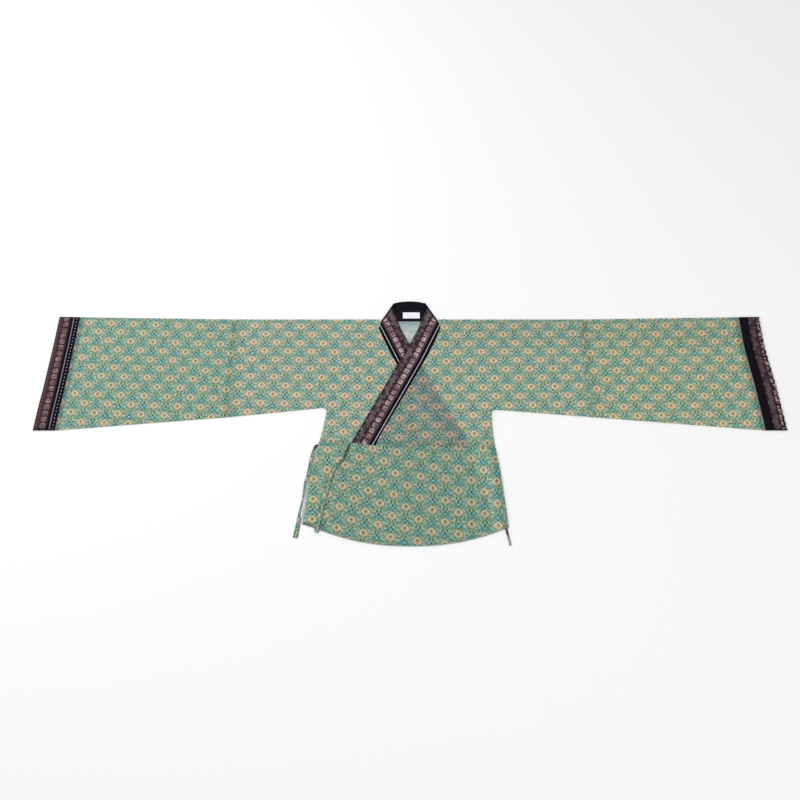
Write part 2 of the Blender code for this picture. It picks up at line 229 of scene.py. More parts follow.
# Ties: x, y and width along the middle line, and the lower face's height
TIES = {
    "tie_side": (
        (-0.2530, -0.3925, 0.0060, 0.0),
        (-0.2596, -0.4030, 0.0066, 0.0),
        (-0.2660, -0.4300, 0.0095, 0.0),
        (-0.2738, -0.4800, 0.0085, 0.0),
        (-0.2794, -0.4990, 0.0076, 0.0),
        (-0.2818, -0.5130, 0.0056, 0.0),
        (-0.2844, -0.5410, 0.0042, 0.0),
        (-0.2874, -0.5610, 0.0040, 0.0),
        (-0.2918, -0.5870, 0.0056, 0.0),
        (-0.2938, -0.6125, 0.0104, 0.0),
        (-0.3000, -0.6530, 0.0122, 0.0),
    ),
    "tie_collar": (
        (-0.1642, -0.3930, 0.0050, 0.0028),
        (-0.1728, -0.4130, 0.0052, 0.0028),
        (-0.1824, -0.4385, 0.0052, 0.0028),
        (-0.1950, -0.4535, 0.0066, 0.0028),
        (-0.2072, -0.4687, 0.0100, 0.0028),
        (-0.2213, -0.5140, 0.0140, 0.0028),
        (-0.2350, -0.5780, 0.0128, 0.0028),
        (-0.2413, -0.6150, 0.0118, 0.0028),
        (-0.2455, -0.6390, 0.0100, 0.0024),
    ),
    "tie_inner": (
        (0.2272, -0.4080, 0.0080, 0.0013),
        (0.2335, -0.4800, 0.0090, 0.0013),
        (0.2400, -0.5600, 0.0080, 0.0013),
        (0.2480, -0.6200, 0.0060, 0.0013),
        (0.2512, -0.6400, 0.0045, 0.0013),
        (0.2556, -0.6590, 0.0045, 0.0011),
        (0.2580, -0.6735, 0.0045, 0.0008),
    ),
}

# How the print lies on each piece: a medallion's centre x, y; the repeat across and
# the angle it runs at; the repeat up the cloth and the angle it leans to the left
PRINT_LAY = {
    "sleeve_end_right": (-0.7406, -0.1894, 0.0649, -2.2, 0.0570, -1.6),
    "half_right": (-0.3487, -0.1601, 0.0669, -1.4, 0.0548, -0.4),
    "half_left": (0.2715, -0.1637, 0.0670, 1.2, 0.0562, 1.2),
    "sleeve_end_left": (0.7524, -0.1909, 0.0662, 1.4, 0.0570, 3.8),
    "overlap_over": (0.0022, -0.2837, 0.0655, 4.0, 0.0584, 0.0),
    "overlap_under": (-0.0022, -0.2813, 0.0655, -4.0, 0.0584, 0.0),
    "skirt_over": (0.0239, -0.5453, 0.0689, -6.8, 0.0597, -3.1),
    "skirt_under": (-0.2585, -0.4352, 0.0687, -4.6, 0.0576, 0.1),
    "skirt_back": (0.0000, -0.5200, 0.0680, 0.0, 0.0590, 0.0),
}
# The bend of the lower panels' rows, which rise towards both sides, per half repeat, and
# how often their place is worked out anew with it
PRINT_BOW = 0.00024
PRINT_BOW_ROUNDS = 6

# One repeat of the print in millimetres. A mark is drawn at x to both sides of a
# column's middle. Columns: x, y; half width, half height; tilt in degrees; bluntness,
# where 2 is an ellipse and 1 a diamond; softness of its edge; how strong; colour.
REPEAT_WIDTH = 65.5
REPEAT_HEIGHT = 56.9
GROUND_MARKS = (
    (16.4, -4.0, 6.0, 8.5, 0, 2.0, 0.50, 0.55, "mist"),
    (0.0, 22.0, 10.0, 7.0, 0, 1.7, 0.40, 0.75, "teal"),
    (6.0, 20.0, 3.4, 2.6, 25, 1.6, 0.35, 0.45, "deep_teal"),
    (16.4, 13.8, 5.2, 4.6, 0, 1.6, 0.50, 0.42, "teal"),
    (13.6, 14.8, 1.6, 1.7, 0, 2.0, 0.30, 0.70, "pine"),
    (15.4, 7.6, 1.6, 1.4, 0, 2.0, 0.30, 0.75, "sand"),
    (11.8, 10.2, 2.8, 1.3, 48, 2.0, 0.30, 0.80, "mist"),
    (13.2, 5.2, 1.5, 1.5, 0, 2.0, 0.30, 0.65, "cream"),
    (8.4, 14.6, 2.6, 1.1, 40, 2.0, 0.30, 0.50, "umber"),
    (4.6, 13.2, 1.5, 1.3, 0, 2.0, 0.30, 0.70, "sand"),
    (11.6, 17.6, 1.4, 1.6, 0, 2.0, 0.30, 0.75, "leaf"),
    (9.0, 25.2, 1.7, 1.4, 0, 2.0, 0.30, 0.70, "leaf"),
    (14.4, 1.2, 1.2, 2.0, 0, 2.0, 0.30, 0.55, "leaf"),
    (13.4, -8.6, 1.4, 1.8, 20, 2.0, 0.30, 0.70, "leaf"),
    (10.6, -12.8, 1.7, 1.5, 0, 2.0, 0.30, 0.70, "cream"),
    (8.4, -18.0, 4.6, 1.9, -52, 2.0, 0.28, 0.70, "sand"),
    (11.4, -24.0, 3.2, 2.4, -30, 1.8, 0.28, 0.85, "sand"),
    (12.6, -28.4, 4.4, 1.7, 0, 2.0, 0.30, 0.70, "pine"),
    (4.6, -20.4, 2.0, 4.6, 8, 1.7, 0.24, 0.72, "pine"),
    (0.0, -20.0, 2.0, 5.2, 0, 2.0, 0.25, 0.85, "fresh"),
    (5.2, -29.6, 2.2, 2.6, 0, 2.0, 0.25, 0.70, "mist"),
    (0.0, 26.8, 2.2, 3.0, 0, 1.7, 0.24, 0.86, "navy"),
    (0.0, 20.4, 2.2, 2.4, 0, 2.0, 0.22, 1.00, "sky"),
    (3.8, 17.2, 1.3, 1.2, 0, 2.0, 0.22, 0.60, "sky"),
    (0.0, 15.0, 2.0, 2.1, 0, 1.8, 0.24, 0.85, "navy"),
)
MEDALLION_MARKS = (
    (0.0, -0.8, 13.0, 12.6, 0, 1.42, 0.12, 0.78, "umber"),
    (0.0, -0.4, 10.9, 10.6, 0, 1.42, 0.08, 1.00, "cream"),
    (0.0, -9.2, 3.5, 4.0, 0, 1.9, 0.15, 0.50, "peach"),
    (0.0, -1.6, 6.9, 7.8, 0, 1.50, 0.12, 0.35, "rust"),
    (0.0, -5.0, 4.6, 5.6, 0, 1.8, 0.15, 0.45, "peach"),
    (0.0, 0.9, 5.0, 5.6, 0, 1.5, 0.15, 0.95, "heart"),
    (0.0, 1.6, 2.4, 3.2, 0, 1.6, 0.25, 0.80, "bark"),
    (0.0, -11.4, 2.6, 2.4, 0, 1.8, 0.20, 0.45, "heart"),
    (6.9, -9.8, 2.0, 2.3, -35, 1.7, 0.24, 0.55, "pine"),
    (0.0, -15.4, 4.6, 1.4, 0, 2.0, 0.30, 0.65, "leaf"),
)

# Flecks between the medallions: their colour, how many per millimetre, and how strong
FLECKS = (("tan", 0.21), ("deep_teal", 0.19), ("leaf", 0.24))
FLECK_SHARE = 0.5
# How unevenly the red, green and blue there come out, and how many patches per millimetre
UNEVEN_DYES = (1.3, 2.2, 2.6)
UNEVEN_SCALE = 0.20
# How strongly the ground's dye shows through over everything, in spots
FADE_SCALE = UNEVEN_SCALE * 1.7
FADE_SHARE = 0.14
# How far the printing strays from its place, in millimetres, and how often it does
UNSTEADY = 0.8
UNSTEADY_SCALE = 0.32

# Creases that folding has left: from x, y; to x, y; half width; height
CREASES = (
    (-0.860, -0.010, -0.850, -0.330, 0.016, 0.0010),
    (-0.690, -0.020, -0.705, -0.300, 0.020, 0.0008),
    (-0.600, -0.150, -0.640, -0.330, 0.014, 0.0007),
    (-0.430, -0.020, -0.415, -0.300, 0.018, 0.0009),
    (-0.330, -0.290, -0.215, -0.160, 0.013, 0.0010),
    (-0.245, -0.300, -0.150, -0.230, 0.011, 0.0008),
    (-0.205, -0.040, -0.190, -0.360, 0.016, 0.0008),
    (-0.240, -0.350, -0.120, -0.395, 0.010, 0.0006),
    (0.205, -0.050, 0.190, -0.380, 0.016, 0.0008),
    (0.250, -0.300, 0.155, -0.210, 0.012, 0.0010),
    (0.350, -0.295, 0.240, -0.170, 0.014, 0.0008),
    (0.440, -0.020, 0.430, -0.305, 0.018, 0.0009),
    (0.640, -0.010, 0.660, -0.320, 0.018, 0.0008),
    (0.760, -0.160, 0.800, -0.345, 0.014, 0.0007),
    (0.880, -0.010, 0.890, -0.335, 0.017, 0.0010),
    (0.150, -0.400, 0.205, -0.640, 0.011, 0.0011),
    (0.050, -0.420, 0.070, -0.660, 0.015, 0.0007),
    (-0.060, -0.400, -0.075, -0.650, 0.016, 0.0008),
    (-0.160, -0.470, -0.190, -0.610, 0.012, 0.0007),
    (0.100, -0.240, 0.180, -0.390, 0.013, 0.0007),
)
# Ripples: how fast each runs across x and y and where it starts; how far it wavers, how
# fast that runs across x and y and where it starts
RIPPLES = (
    (41.0, 0.0, 0.0, 1.7, 0.0, 23.0, 0.0),
    (17.0, -37.0, 0.8, 0.0, 0.0, 0.0, 0.0),
    (0.0, 61.0, 0.0, 2.1, 13.0, 0.0, 0.5),
)
RIPPLE_HEIGHT = 0.0004
# How bluntly a crease ends, and how far from a folded edge the cloth comes to its full height
CREASE_BLUNTNESS = 0.7
FOLD_REACH = 0.030
# The x between which the underarm folds count as near
SIDES = (0.15, JOIN_X + 0.01)

# What each cloth's colour is multiplied by, for its own dye lot and what lies beneath
PIECE_TINTS = {
    "half_right": (1.00, 0.96, 0.98),
    "half_left": (0.99, 0.97, 0.96),
    "sleeve_end_right": (0.87, 0.91, 0.90),
    "sleeve_end_left": (1.00, 0.97, 0.90),
    "overlap_over": (0.98, 0.95, 0.95),
    "overlap_under": (1.02, 1.00, 0.98),
    "skirt_over": (0.72, 0.80, 0.78),
    "skirt_under": (0.85, 0.91, 0.88),
    "skirt_back": (0.93, 0.96, 0.95),
}
TINTS = {
    "seam": (0.78, 0.85, 0.86),
    "cuff seam": (0.58, 0.62, 0.70),
    "under front": (0.77, 0.76, 0.80),
    "under collar": (0.88, 0.84, 0.93),
    # Painted shade over the top of the left half and its sleeve
    "shoulder shade": (0.93, 0.93, 0.93),
    "single layer": (1.24, 1.19, 1.22),
    "allowance": (0.80, 0.89, 0.92),
    "slightly pale": (1.06, 1.03, 1.03),
    "slit": (1.12, 1.06, 1.16),
    "shadow": (0.72, 0.76, 0.78),
    # Black also paints the shade in the folds of the cuffs and the collar
    "black": (0.06, 0.05, 0.07),
    "tie": (0.80, 0.86, 0.86),
    # Painted shade along the raised edges of the ties
    "tie edge shade": (0.20, 0.25, 0.24),
}
# The distances within which each shade is full and beyond which it is gone
FADES = {
    "body": (0.25, 0.26),
    "sleeve join": (0.010, 0.017),
    "waist seam": (0.006, 0.012),
    "cuff seam": (0.009, 0.016),
    "collar edge": (0.003, 0.007),
    "collar allowance": (0.011, 0.018),
    "side allowance": (0.012, 0.020),
    # Neck fold and cuff fold: where the painted shade in the trim's folds is full and where it is gone
    "neck fold": (0.0030, 0.0045),
    "cuff fold": (0.002, 0.005),
    "cuff end": (0.0006, 0.0028),
}
# The distances at which other shades start and are full
RISES = {
    # Where the painted shade over the top of the left half comes in, down from the shoulder fold and out
    # from the middle
    "shoulder shade down": (0.12, 0.06),
    "shoulder shade out": (0.05, 0.12),
    "below the neck": (0.12, 0.16),
    "under front": (BAND_WIDTH + 0.004, BAND_WIDTH - 0.004),
    "under collar, outside": (-0.002, 0.008),
    "under collar, inside": (BAND_WIDTH + 0.004, BAND_WIDTH - 0.006),
    "slit": (0.001, -0.001),
    "single layer": (-0.002, 0.006),
    "slightly pale": (-0.02, -0.04),
    "tie edge shade": (0.45, 0.85),
}
# How dark the open end of a cuff is, straight and waved
CUFF_END_DARK = {-1: 0.6, +1: 0.85}
# Soft shades: the pieces they fall on; from x, y; to x, y; reach; tint
SHADES = (
    (("skirt_over", "skirt_under"), -0.196, -0.452, -0.186, -0.466, 0.009, "shadow"),
    (("skirt_over", "skirt_under"), -0.236, -0.600, -0.230, -0.645, 0.008, "shadow"),
    (("skirt_under",), -0.2830, -0.6155, -0.2610, -0.6215, 0.0045, "black"),
    (("tie_inner",), 0.2512, -0.6330, 0.2530, -0.6420, 0.006, "black"),
    (("tie_side",), -0.2500, -0.3905, -0.2588, -0.4010, 0.006, "black"),
    (("half_left",), 0.205, -0.380, 0.228, -0.395, 0.016, "seam"),
    # The next two darken both armpits
    (("half_right",), -0.260, -0.285, -0.230, -0.300, 0.012, "seam"),
    (("half_left",), 0.245, -0.290, 0.225, -0.300, 0.012, "seam"),
    (("half_right", "half_left"), -0.045, -0.010, 0.045, -0.010, 0.015, "shadow"),
)

# Woven trim rows, each from its first edge to the next row's, and what is woven there
COLLAR_ROWS = (
    (-0.0400, "facing"),
    (-0.0012, "brown"),
    (0.0006, "pale scroll"),
    (0.0226, "red"),
    (0.0243, "brown"),
    (0.0260, "roundel"),
    (0.0386, "mauve"),
    (0.0442, "ribbed"),
    (0.0531, "lilac"),
    (0.0546, "black"),
)
RIGHT_CUFF_ROWS = (
    (-0.0100, "black"),
    (0.0054, "dots"),
    (0.0092, "black"),
    (0.0153, "violet"),
    (0.0174, "ribbed"),
    (0.0256, "brown"),
    (0.0288, "shaded roundel"),
    (0.0448, "brown"),
    (0.0502, "dashes"),
    (0.0588, "black"),
)
LEFT_CUFF_ROWS = (
    (-0.0100, "black"),
    (0.0015, "purple"),
    (0.0241, "scroll"),
    (0.0437, "red"),
    (0.0455, "black"),
    (0.0476, "worn roundel"),
    (0.0596, "black"),
)
TRIM_ROWS = {
    "collar trim": COLLAR_ROWS,
    "right cuff trim": RIGHT_CUFF_ROWS,
    "left cuff trim": LEFT_CUFF_ROWS,
}
# Woven patterns in millimetres. A roundel's body, the outside and inside of its ring, and
# its petals are each half a width and half a height, and how blunt
ROUNDEL_PITCH = 18.7
ROUNDEL_SOFTNESS = 0.07
ROUNDEL_SHAPES = (
    ((6.9, 7.3), 4.0),
    ((5.0, 5.4), 2.6),
    ((4.0, 4.4), 2.6),
    ((3.4, 3.7), 0.75),
)
# A dot's bluntness and softness
DOT_PITCH = 10.5
DOT_SHAPE = (2.0, 0.2)
# Dotted rows: a dot's half width and half height, how strong it is, its ground and its thread
DOTTED_ROWS = {
    "dots": ((1.3, 1.6), 0.6, "trim_black", "lilac"),
    "dashes": ((2.6, 4.0), 0.45, "brown", "scroll"),
}
# The vine's sway to each side and where its edge fades, and its leaf's middle and the
# outside, inside and heart of its curl, each with its softness
SCROLL_PITCH = 28.0
SCROLL_SWAY = 5.2
VINE_EDGE = (0.7, 1.7)
LEAF_AT = 4.0
LEAF_BLUNTNESS = 1.7
LEAF_SHAPES = (((6.2, 6.6), 0.12), ((4.2, 4.5), 0.12), ((2.1, 2.3), 0.2))

# The light cord rows, and how high they and the collar's roundels stand
CORD_ROWS = ("lilac", "violet")
CORD_RELIEF = 0.0006
ROUNDEL_RELIEF = 0.00025
# The share of the way down a cuff over which they come up
RELIEF_REACH = 0.02

# Spacing of the points that shape the cloth, how near its edge they come as a share of
# that, how near two points are one, and the steps round a fold
CLOTH_STEP = 0.005
EDGE_CLEARANCE = 0.55
SAME_PLACE = 1e-7
FOLD_STEPS = 6
# Steps along and down each sleeve length, each cuff and each lower panel, and over the
# collar, and points along and down a label
SLEEVE_STEPS = (92, 66)
CUFF_STEPS = (40, 152)
PANEL_STEPS = (109, 60)
COLLAR_STEPS = 40
LABEL_POINTS = (31, 15)
# Faces that meet at more than this many degrees keep a sharp edge
SHARP_ANGLE = 50.0

# Labels inside the neck: finish and slot; half width at the foot and at the top; foot and
# top y; how far the label sits to the left; its lower face
LABELS = {
    "label_band": ("label strip", "dark_label", 0.0330, 0.0365, -0.0060, 0.0260, 0.0, 0.0018),
    "label_tag": ("blank label", "white_label", 0.0245, 0.0245, 0.0020, 0.0220, 0.0050, 0.0031),
}

# Stitches. A row runs between two shares of its seam, through this many points
STITCH_LENGTH = 0.0026
STITCH_GAP = 0.0010
STITCH_SIDES = 6
THREAD = 0.00035
HEM_STITCH_SHARE = 0.972
TRIM_STITCH_INSET = 0.0024
STITCH_ROW = (0.01, 0.99, 160)

# Distance between threads in each cloth, and between the ribs of the trim in millimetres
COTTON_PITCH = 0.0009
TRIM_PITCH = 0.0007
PLAIN_PITCH = 0.0006
TAG_PITCH = 0.0004
RIB_PITCH = 1.6
# Plain cloths and threads: colour, roughness and thread pitch
PLAIN_CLOTHS = {
    "collar facing": ("facing", 0.55, PLAIN_PITCH),
    "label strip": ("dark_label", 0.5, PLAIN_PITCH),
    "blank label": ("white_label", 0.6, TAG_PITCH),
    "sewing thread": ("thread", 0.7, PLAIN_PITCH),
    "trim thread": ("dark_thread", 0.6, PLAIN_PITCH),
}
# Grain coordinates are metres; patterns are charted in millimetres. A mark has no repeat
# across its column, so that repeat is longer than any cloth
MILLIMETRES = 1000.0
NO_REPEAT = 1000.0

# Threads: how closely and how far they wander, and the scale of their long slubs
WANDER_SCALE = 900.0
WANDER_TURN = 0.9
LONG_SLUB_SCALE = (90.0, 1400.0, 1.0)
# How much painted shade the threads and the slubs give a cloth, and how far they raise it
THREAD_SHADE = 0.10
SLUB_SHADE = 0.12
SLUB_HEIGHT = 0.6
# Each cloth's roughness, sheen and specular, and the depth and strength of its threads' relief
COTTON_FINISH = (0.82, 0.12, 0.2)
TRIM_FINISH = (0.60, 0.0, 0.06)
PLAIN_SPECULAR = 0.08
COTTON_RELIEF = (0.00008, 0.5)
TRIM_RELIEF = (0.0001, 0.6)
PLAIN_RELIEF = (0.00006, 0.5)
# How far the print's paler wrong side hides it
WRONG_SIDE_SHARE = 0.48

# Unevenness, each as the patches per unit and the noise values between which it comes in:
# the ground's blots and specks, and the flecks and faded spots of the print
BLOT_SCALE = 0.06
BLOT_BAND = (0.35, 0.65)
SPECK_SCALE = 0.45
PALE_SPECKS = (0.54, 0.66, 0.0, 0.5)
LEAF_SPECKS = (0.46, 0.34, 0.0, 0.45)
FLECK_BAND = (0.55, 0.72)
FADE_BAND = (0.42, 0.66)
# Plain cloth's paler patches, and how much paler they are
PLAIN_SCALE = 55.0
PLAIN_BAND = (0.3, 0.7)
PALER = 1.25
# The trim's painted sheen, brighter and dimmer in slow patches, and where its threads are worn away
SHEEN_SCALE = 38.0
SHEEN_BAND = (0.38, 0.62)
SCROLL_BAND = (0.36, 0.62, 0.15, 1.0)
WORN_SCALE = 95.0
WORN_BAND = (0.40, 0.58)
# How much of a roundel's thread is left, from where it is worn to where it is whole
WORN_SHARES = (0.0, 0.8)
WHOLE_SHARES = (0.55, 1.0)
ROUNDEL_LINE = 0.6
# Softness of a row's edges, and how high a rib stands beside its threads
ROW_SOFTNESS = 0.00025
RIB_HEIGHT = 2.5
LAST_ROW_WIDTH = 0.05
# The height of a rib's wave from which it is black and at which it has its colour
RIB_BAND = (-0.6, 0.9)
# How rough a ribbon with a cord row is, and how much less so its cord
CORDED_ROUGHNESS = 0.65
CORD_GLOSS = 0.15

# Studio: the floor, the sky's strength, and each soft light's place, size and power
FLOOR_REACH = 6.0
FLOOR_CORNERS = ((-1, -1), (1, -1), (1, 1), (-1, 1))
FLOOR_DROP = 0.0004
SKY_STRENGTH = 0.72
LIGHTS = {
    "key": ((-1.9, 1.2, 2.0), 1.4, 26.0),
    "fill": ((1.4, -1.2, 2.4), 2.5, 12.0),
}
VIEW_TILT = math.radians(25.0)
VIEW_DISTANCE = 2.4521
VIEW_POINT = (-0.028, 0.0495)
VIEW_LENS = 39.59
VIEW_SENSOR = 36.0


def from_bytes(red, green, blue):
    """A display colour of 0 to 255 as the linear colour that a shader needs."""
    linear = []
    for value in (red, green, blue):
        share = value / 255
        linear.append(share / 12.92 if share <= 0.04045 else ((share + 0.055) / 1.055) ** 2.4)
    return (*linear, 1.0)


def lerp(a, b, t):
    return a + (b - a) * t


def smooth(low, high, value):
    """0 below low, 1 above high, and an even S between; for numbers and arrays."""
    t = np.clip((value - low) / (high - low), 0.0, 1.0)
    return t * t * (3.0 - 2.0 * t)


def pairs(x, y):
    """Two lists of numbers as rows of (x, y)."""
    return np.stack([x, y], 1)


def shoulder_y(x):
    return SHOULDER_RISE * np.maximum(np.abs(x) - JOIN_X, 0.0)


def underarm_y(x):
    return np.maximum(UNDERARM_Y + UNDERARM_SLOPE * (np.abs(x) - UNDERARM_X), CUFF_LOW_Y)


def waist_y(x):
    return WAIST_Y + WAIST_SLOPE * x


def hem_y(x):
    curve = HEM_RISE * (np.minimum(np.abs(x), HEM_CURVE_END) / HEM_HALF_WIDTH) ** HEM_POWER
    return HEM_Y + curve + HEM_END_SLOPE * np.maximum(np.abs(x) - HEM_CURVE_END, 0.0)


def front_z(side, x, y):
    """Lower face of the front cloth: the left half climbs over the under layers."""
    x, y = np.asarray(x, float), np.asarray(y, float)
    if side < 0:
        return np.full(x.shape, Z_UNDER)
    climb = (1.0 - smooth(*CLIMB_OUT, np.abs(x))) * smooth(*CLIMB_DOWN, -y)
    return lerp(Z_UNDER, Z_OVER, climb)


def dense(points):
    """The same open line of (x, y) points, with none further apart than a cloth step."""
    line = []
    for (x0, y0), (x1, y1) in zip(points, points[1:]):
        count = max(1, math.ceil(math.hypot(x1 - x0, y1 - y0) / CLOTH_STEP))
        line += [(lerp(x0, x1, k / count), lerp(y0, y1, k / count)) for k in range(count)]
    line.append(tuple(points[-1]))
    return line


def curve_through(rows, steps):
    """Rows of numbers on a smooth curve through the given rows, with steps between each two."""
    rows = np.array(rows, float)
    padded = np.vstack([2 * rows[0] - rows[1], rows, 2 * rows[-1] - rows[-2]])
    made = []
    for k in range(len(rows) - 1):
        p0, p1, p2, p3 = padded[k:k + 4]
        for step in range(steps):
            t = step / steps
            made.append(0.5 * (
                2 * p1 + (p2 - p0) * t + (2 * p0 - 5 * p1 + 4 * p2 - p3) * t ** 2
                + (3 * p1 - p0 - 3 * p2 + p3) * t ** 3
            ))
    made.append(rows[-1])
    return np.array(made)


def down_sleeve(x, y):
    """Share of the way from the shoulder fold to the underarm fold."""
    return np.clip((shoulder_y(x) - y) / (shoulder_y(x) - underarm_y(x)), 0.0, 1.0)


def cuff_bow(side, share):
    """How far the cuff and the cloth by it bow in, at a share of the way down."""
    rows = curve_through(CUFF_BOW, CUFF_BOW_STEPS)
    return np.interp(share, rows[:, 0], rows[:, 1 if side < 0 else 2])


def drawn_in(wave, share):
    """How far a waved cuff edge is drawn in between its points, at a share of the way down."""
    return wave * np.sin(math.pi * CUFF_WAVES * share) ** 2


def cuff_seam_x(side, share):
    """Where the cuff is sewn on, outward from the middle."""
    return lerp(CUFF_TOP_X, CUFF_LOW_X, share) - cuff_bow(side, share)


def across(line):
    """Unit normals of a line of (x, y) points, on the left of its direction."""
    line = np.array(line, float)
    along = np.vstack([line[1] - line[0], line[2:] - line[:-2], line[-1] - line[-2]])
    along /= np.linalg.norm(along, axis=1)[:, None]
    return pairs(-along[:, 1], along[:, 0])


def nearest(points, line):
    """Distance of each point from a line, the length along it, and the side it is on."""
    points, line = np.array(points, float), np.array(line, float)
    start, along = line[:-1], line[1:] - line[:-1]
    length = np.linalg.norm(along, axis=1)
    before = np.concatenate([[0.0], np.cumsum(length)[:-1]])
    best = np.full(len(points), np.inf)
    where = np.zeros(len(points))
    hand = np.ones(len(points))
    for k in range(len(start)):
        offset = points - start[k]
        share = np.clip(offset @ along[k] / length[k] ** 2, 0.0, 1.0)
        apart = offset - share[:, None] * along[k]
        distance = np.linalg.norm(apart, axis=1)
        closer = distance < best
        best = np.where(closer, distance, best)
        where = np.where(closer, before[k] + share * length[k], where)
        turned = along[k][0] * offset[:, 1] - along[k][1] * offset[:, 0]
        hand = np.where(closer, np.sign(turned), hand)
    return best, where, hand


def underarm_line(side):
    """Outline from the sleeve join along the underarm, round the armpit, to the waist."""
    armpit, flank, waist = SIDE_SEAM[side]
    centre_x = armpit + ARMPIT_RADIUS

    def lifted(x):
        return float(underarm_y(x)) + ARMPIT_LIFT[side] * (JOIN_X - x) / (JOIN_X - centre_x)

    centre_y = lifted(centre_x) - ARMPIT_RADIUS
    line = [(x, lifted(x)) for x in UNDERARM_STATIONS]
    for angle in ARMPIT_DEGREES:
        turn = math.radians(angle)
        line.append((
            centre_x + ARMPIT_RADIUS * math.cos(turn),
            centre_y + ARMPIT_RADIUS * math.sin(turn),
        ))
    waist_end = (waist, waist_y(side * waist))
    line.append((flank, lerp(centre_y, waist_end[1], 0.5)))
    line.append(waist_end)
    return line


UNDERARM = {side: dense(underarm_line(side)) for side in (-1, +1)}


def inside_fold(x, y):
    """How far a point lies inside the folded edges of the laid garment."""
    x, y = np.asarray(x, float), np.asarray(y, float)
    room = shoulder_y(x) - y
    sleeve = np.where(np.abs(x) > JOIN_X, y - underarm_y(x), 1.0)
    room = np.minimum(room, sleeve)
    for side in (-1, +1):
        beside = (side * x > SIDES[0]) & (side * x <= SIDES[1])
        if beside.any():
            distance, _, _ = nearest(pairs(np.abs(x[beside]), y[beside]), UNDERARM[side])
            room[beside] = np.minimum(room[beside], distance)
    return np.maximum(room, 0.0)


def rise(x, y):
    """How far the laid upper layers stand off the ones below, from creases and ripples."""
    x, y = np.asarray(x, float), np.asarray(y, float)
    points = pairs(x.ravel(), y.ravel())
    height = np.zeros(len(points))
    scale = bpy.context.scene.top_sizes.crease_share
    for x0, y0, x1, y1, width, peak in CREASES:
        line = [(x0, y0), (x1, y1)]
        distance, along, _ = nearest(points, line)
        length = math.hypot(x1 - x0, y1 - y0)
        ends = np.sin(np.pi * np.clip(along / length, 0.0, 1.0)) ** CREASE_BLUNTNESS
        height += scale * peak * ends * np.exp(-(distance / width) ** 2)
    px, py = points[:, 0], points[:, 1]
    ripple = np.zeros(len(points))
    for a, b, start, waver, c, d, waver_start in RIPPLES:
        wavering = waver * np.sin(px * c + py * d + waver_start)
        ripple += np.sin(px * a + py * b + start + wavering)
    height += scale * RIPPLE_HEIGHT * (1.0 + ripple / len(RIPPLES))
    height *= smooth(0.0, FOLD_REACH, inside_fold(px, py))
    return height.reshape(x.shape)


def band_lines(side):
    """Fine sections of one front end of the collar, from the waist to the neck fold."""
    stations = np.array(COLLAR_STATIONS)
    straight = [
        lerp(stations[0], stations[1], k / STRAIGHT_SECTIONS) for k in range(STRAIGHT_SECTIONS)
    ]
    bend = curve_through(COLLAR_STATIONS[1:-1], BEND_SECTIONS)
    fold = [
        lerp(stations[-2], stations[-1], k / NECK_FOLD_SECTIONS)
        for k in range(1, NECK_FOLD_SECTIONS + 1)
    ]
    rows = np.vstack([straight, bend, fold])
    rows[:, (0, 2)] *= side
    return rows


def print_place(lay, x, run):
    """Where laid points fall on the printed repeat, in metres of the repeat.

    Run is y on a front and continues past the shoulder fold on a back.
    """
    seed_x, seed_y, wide, turn, high, lean = PRINT_LAY[lay]
    turn, lean = math.radians(turn), math.radians(lean)
    step_x = np.array([math.cos(turn), math.sin(turn)]) * wide / 2
    step_y = np.array([-math.sin(lean), math.cos(lean)]) * high / 2
    back = np.linalg.inv(pairs(step_x, step_y))
    offset = pairs(x - seed_x, run - seed_y)
    place = offset @ back.T
    if lay.startswith("skirt"):
        for _ in range(PRINT_BOW_ROUNDS):
            column, row = place[:, 0], place[:, 1]
            bow = pairs(-column * row, column ** 2 + 0.5 * column * row + 0.5 * row ** 2)
            place = (offset - PRINT_BOW * bow) @ back.T
    return place * np.array([REPEAT_WIDTH, REPEAT_HEIGHT]) / 2 / MILLIMETRES


def across_skirt(edge, y, x):
    """Where an edge of the lower panels runs, at the height of each point."""
    share = (waist_y(x) - y) / (waist_y(x) - hem_y(x))
    return np.interp(share, SKIRT_ROWS, SKIRT_EDGE[edge])


def near(name, distance):
    """1 where a shade is full, falling to 0 with the distance."""
    return 1.0 - smooth(*FADES[name], distance)


def coming(name, distance):
    """0 where a shade starts, rising to 1 where it is full."""
    return smooth(*RISES[name], distance)


def seam_and_shoulder_shades(piece, x, y):
    """Where seams and their allowances show through, and the painted shade over the top of the left half
    and its sleeve: each a mask and the name of its tint.
    """
    yield near("sleeve join", np.abs(np.abs(x) - JOIN_X)), "seam"
    yield near("body", np.abs(x)) * near("waist seam", np.abs(y - waist_y(x))), "seam"
    if piece.startswith("sleeve_end"):
        inside = cuff_seam_x(np.sign(x[0]), down_sleeve(x, y)) - np.abs(x)
        yield near("cuff seam", inside), "cuff seam"
    if piece in ("half_left", "sleeve_end_left"):
        # Painted shade: the top of the left half and its sleeve are darker towards the shoulder fold
        yield coming("shoulder shade down", -y) * coming("shoulder shade out", x), "shoulder shade"


def over_front_shades(x, y):
    """What shows through the over front: its collar's allowance, the under front and collar."""
    points = pairs(x, y)
    below = coming("below the neck", -y)
    distance, _, _ = nearest(points, [row[:2] for row in COLLAR_STATIONS[:3]])
    strip = (1.0 - near("collar edge", distance)) * near("collar allowance", distance)
    yield below * strip, "allowance"
    outer = [(-row[0], row[1]) for row in (COLLAR_STATIONS[1], COLLAR_STATIONS[0])]
    distance, _, hand = nearest(points, outer)
    inside = distance * hand
    yield below * coming("under front", inside), "under front"
    band = coming("under collar, outside", inside) * coming("under collar, inside", inside)
    yield below * band, "under collar"


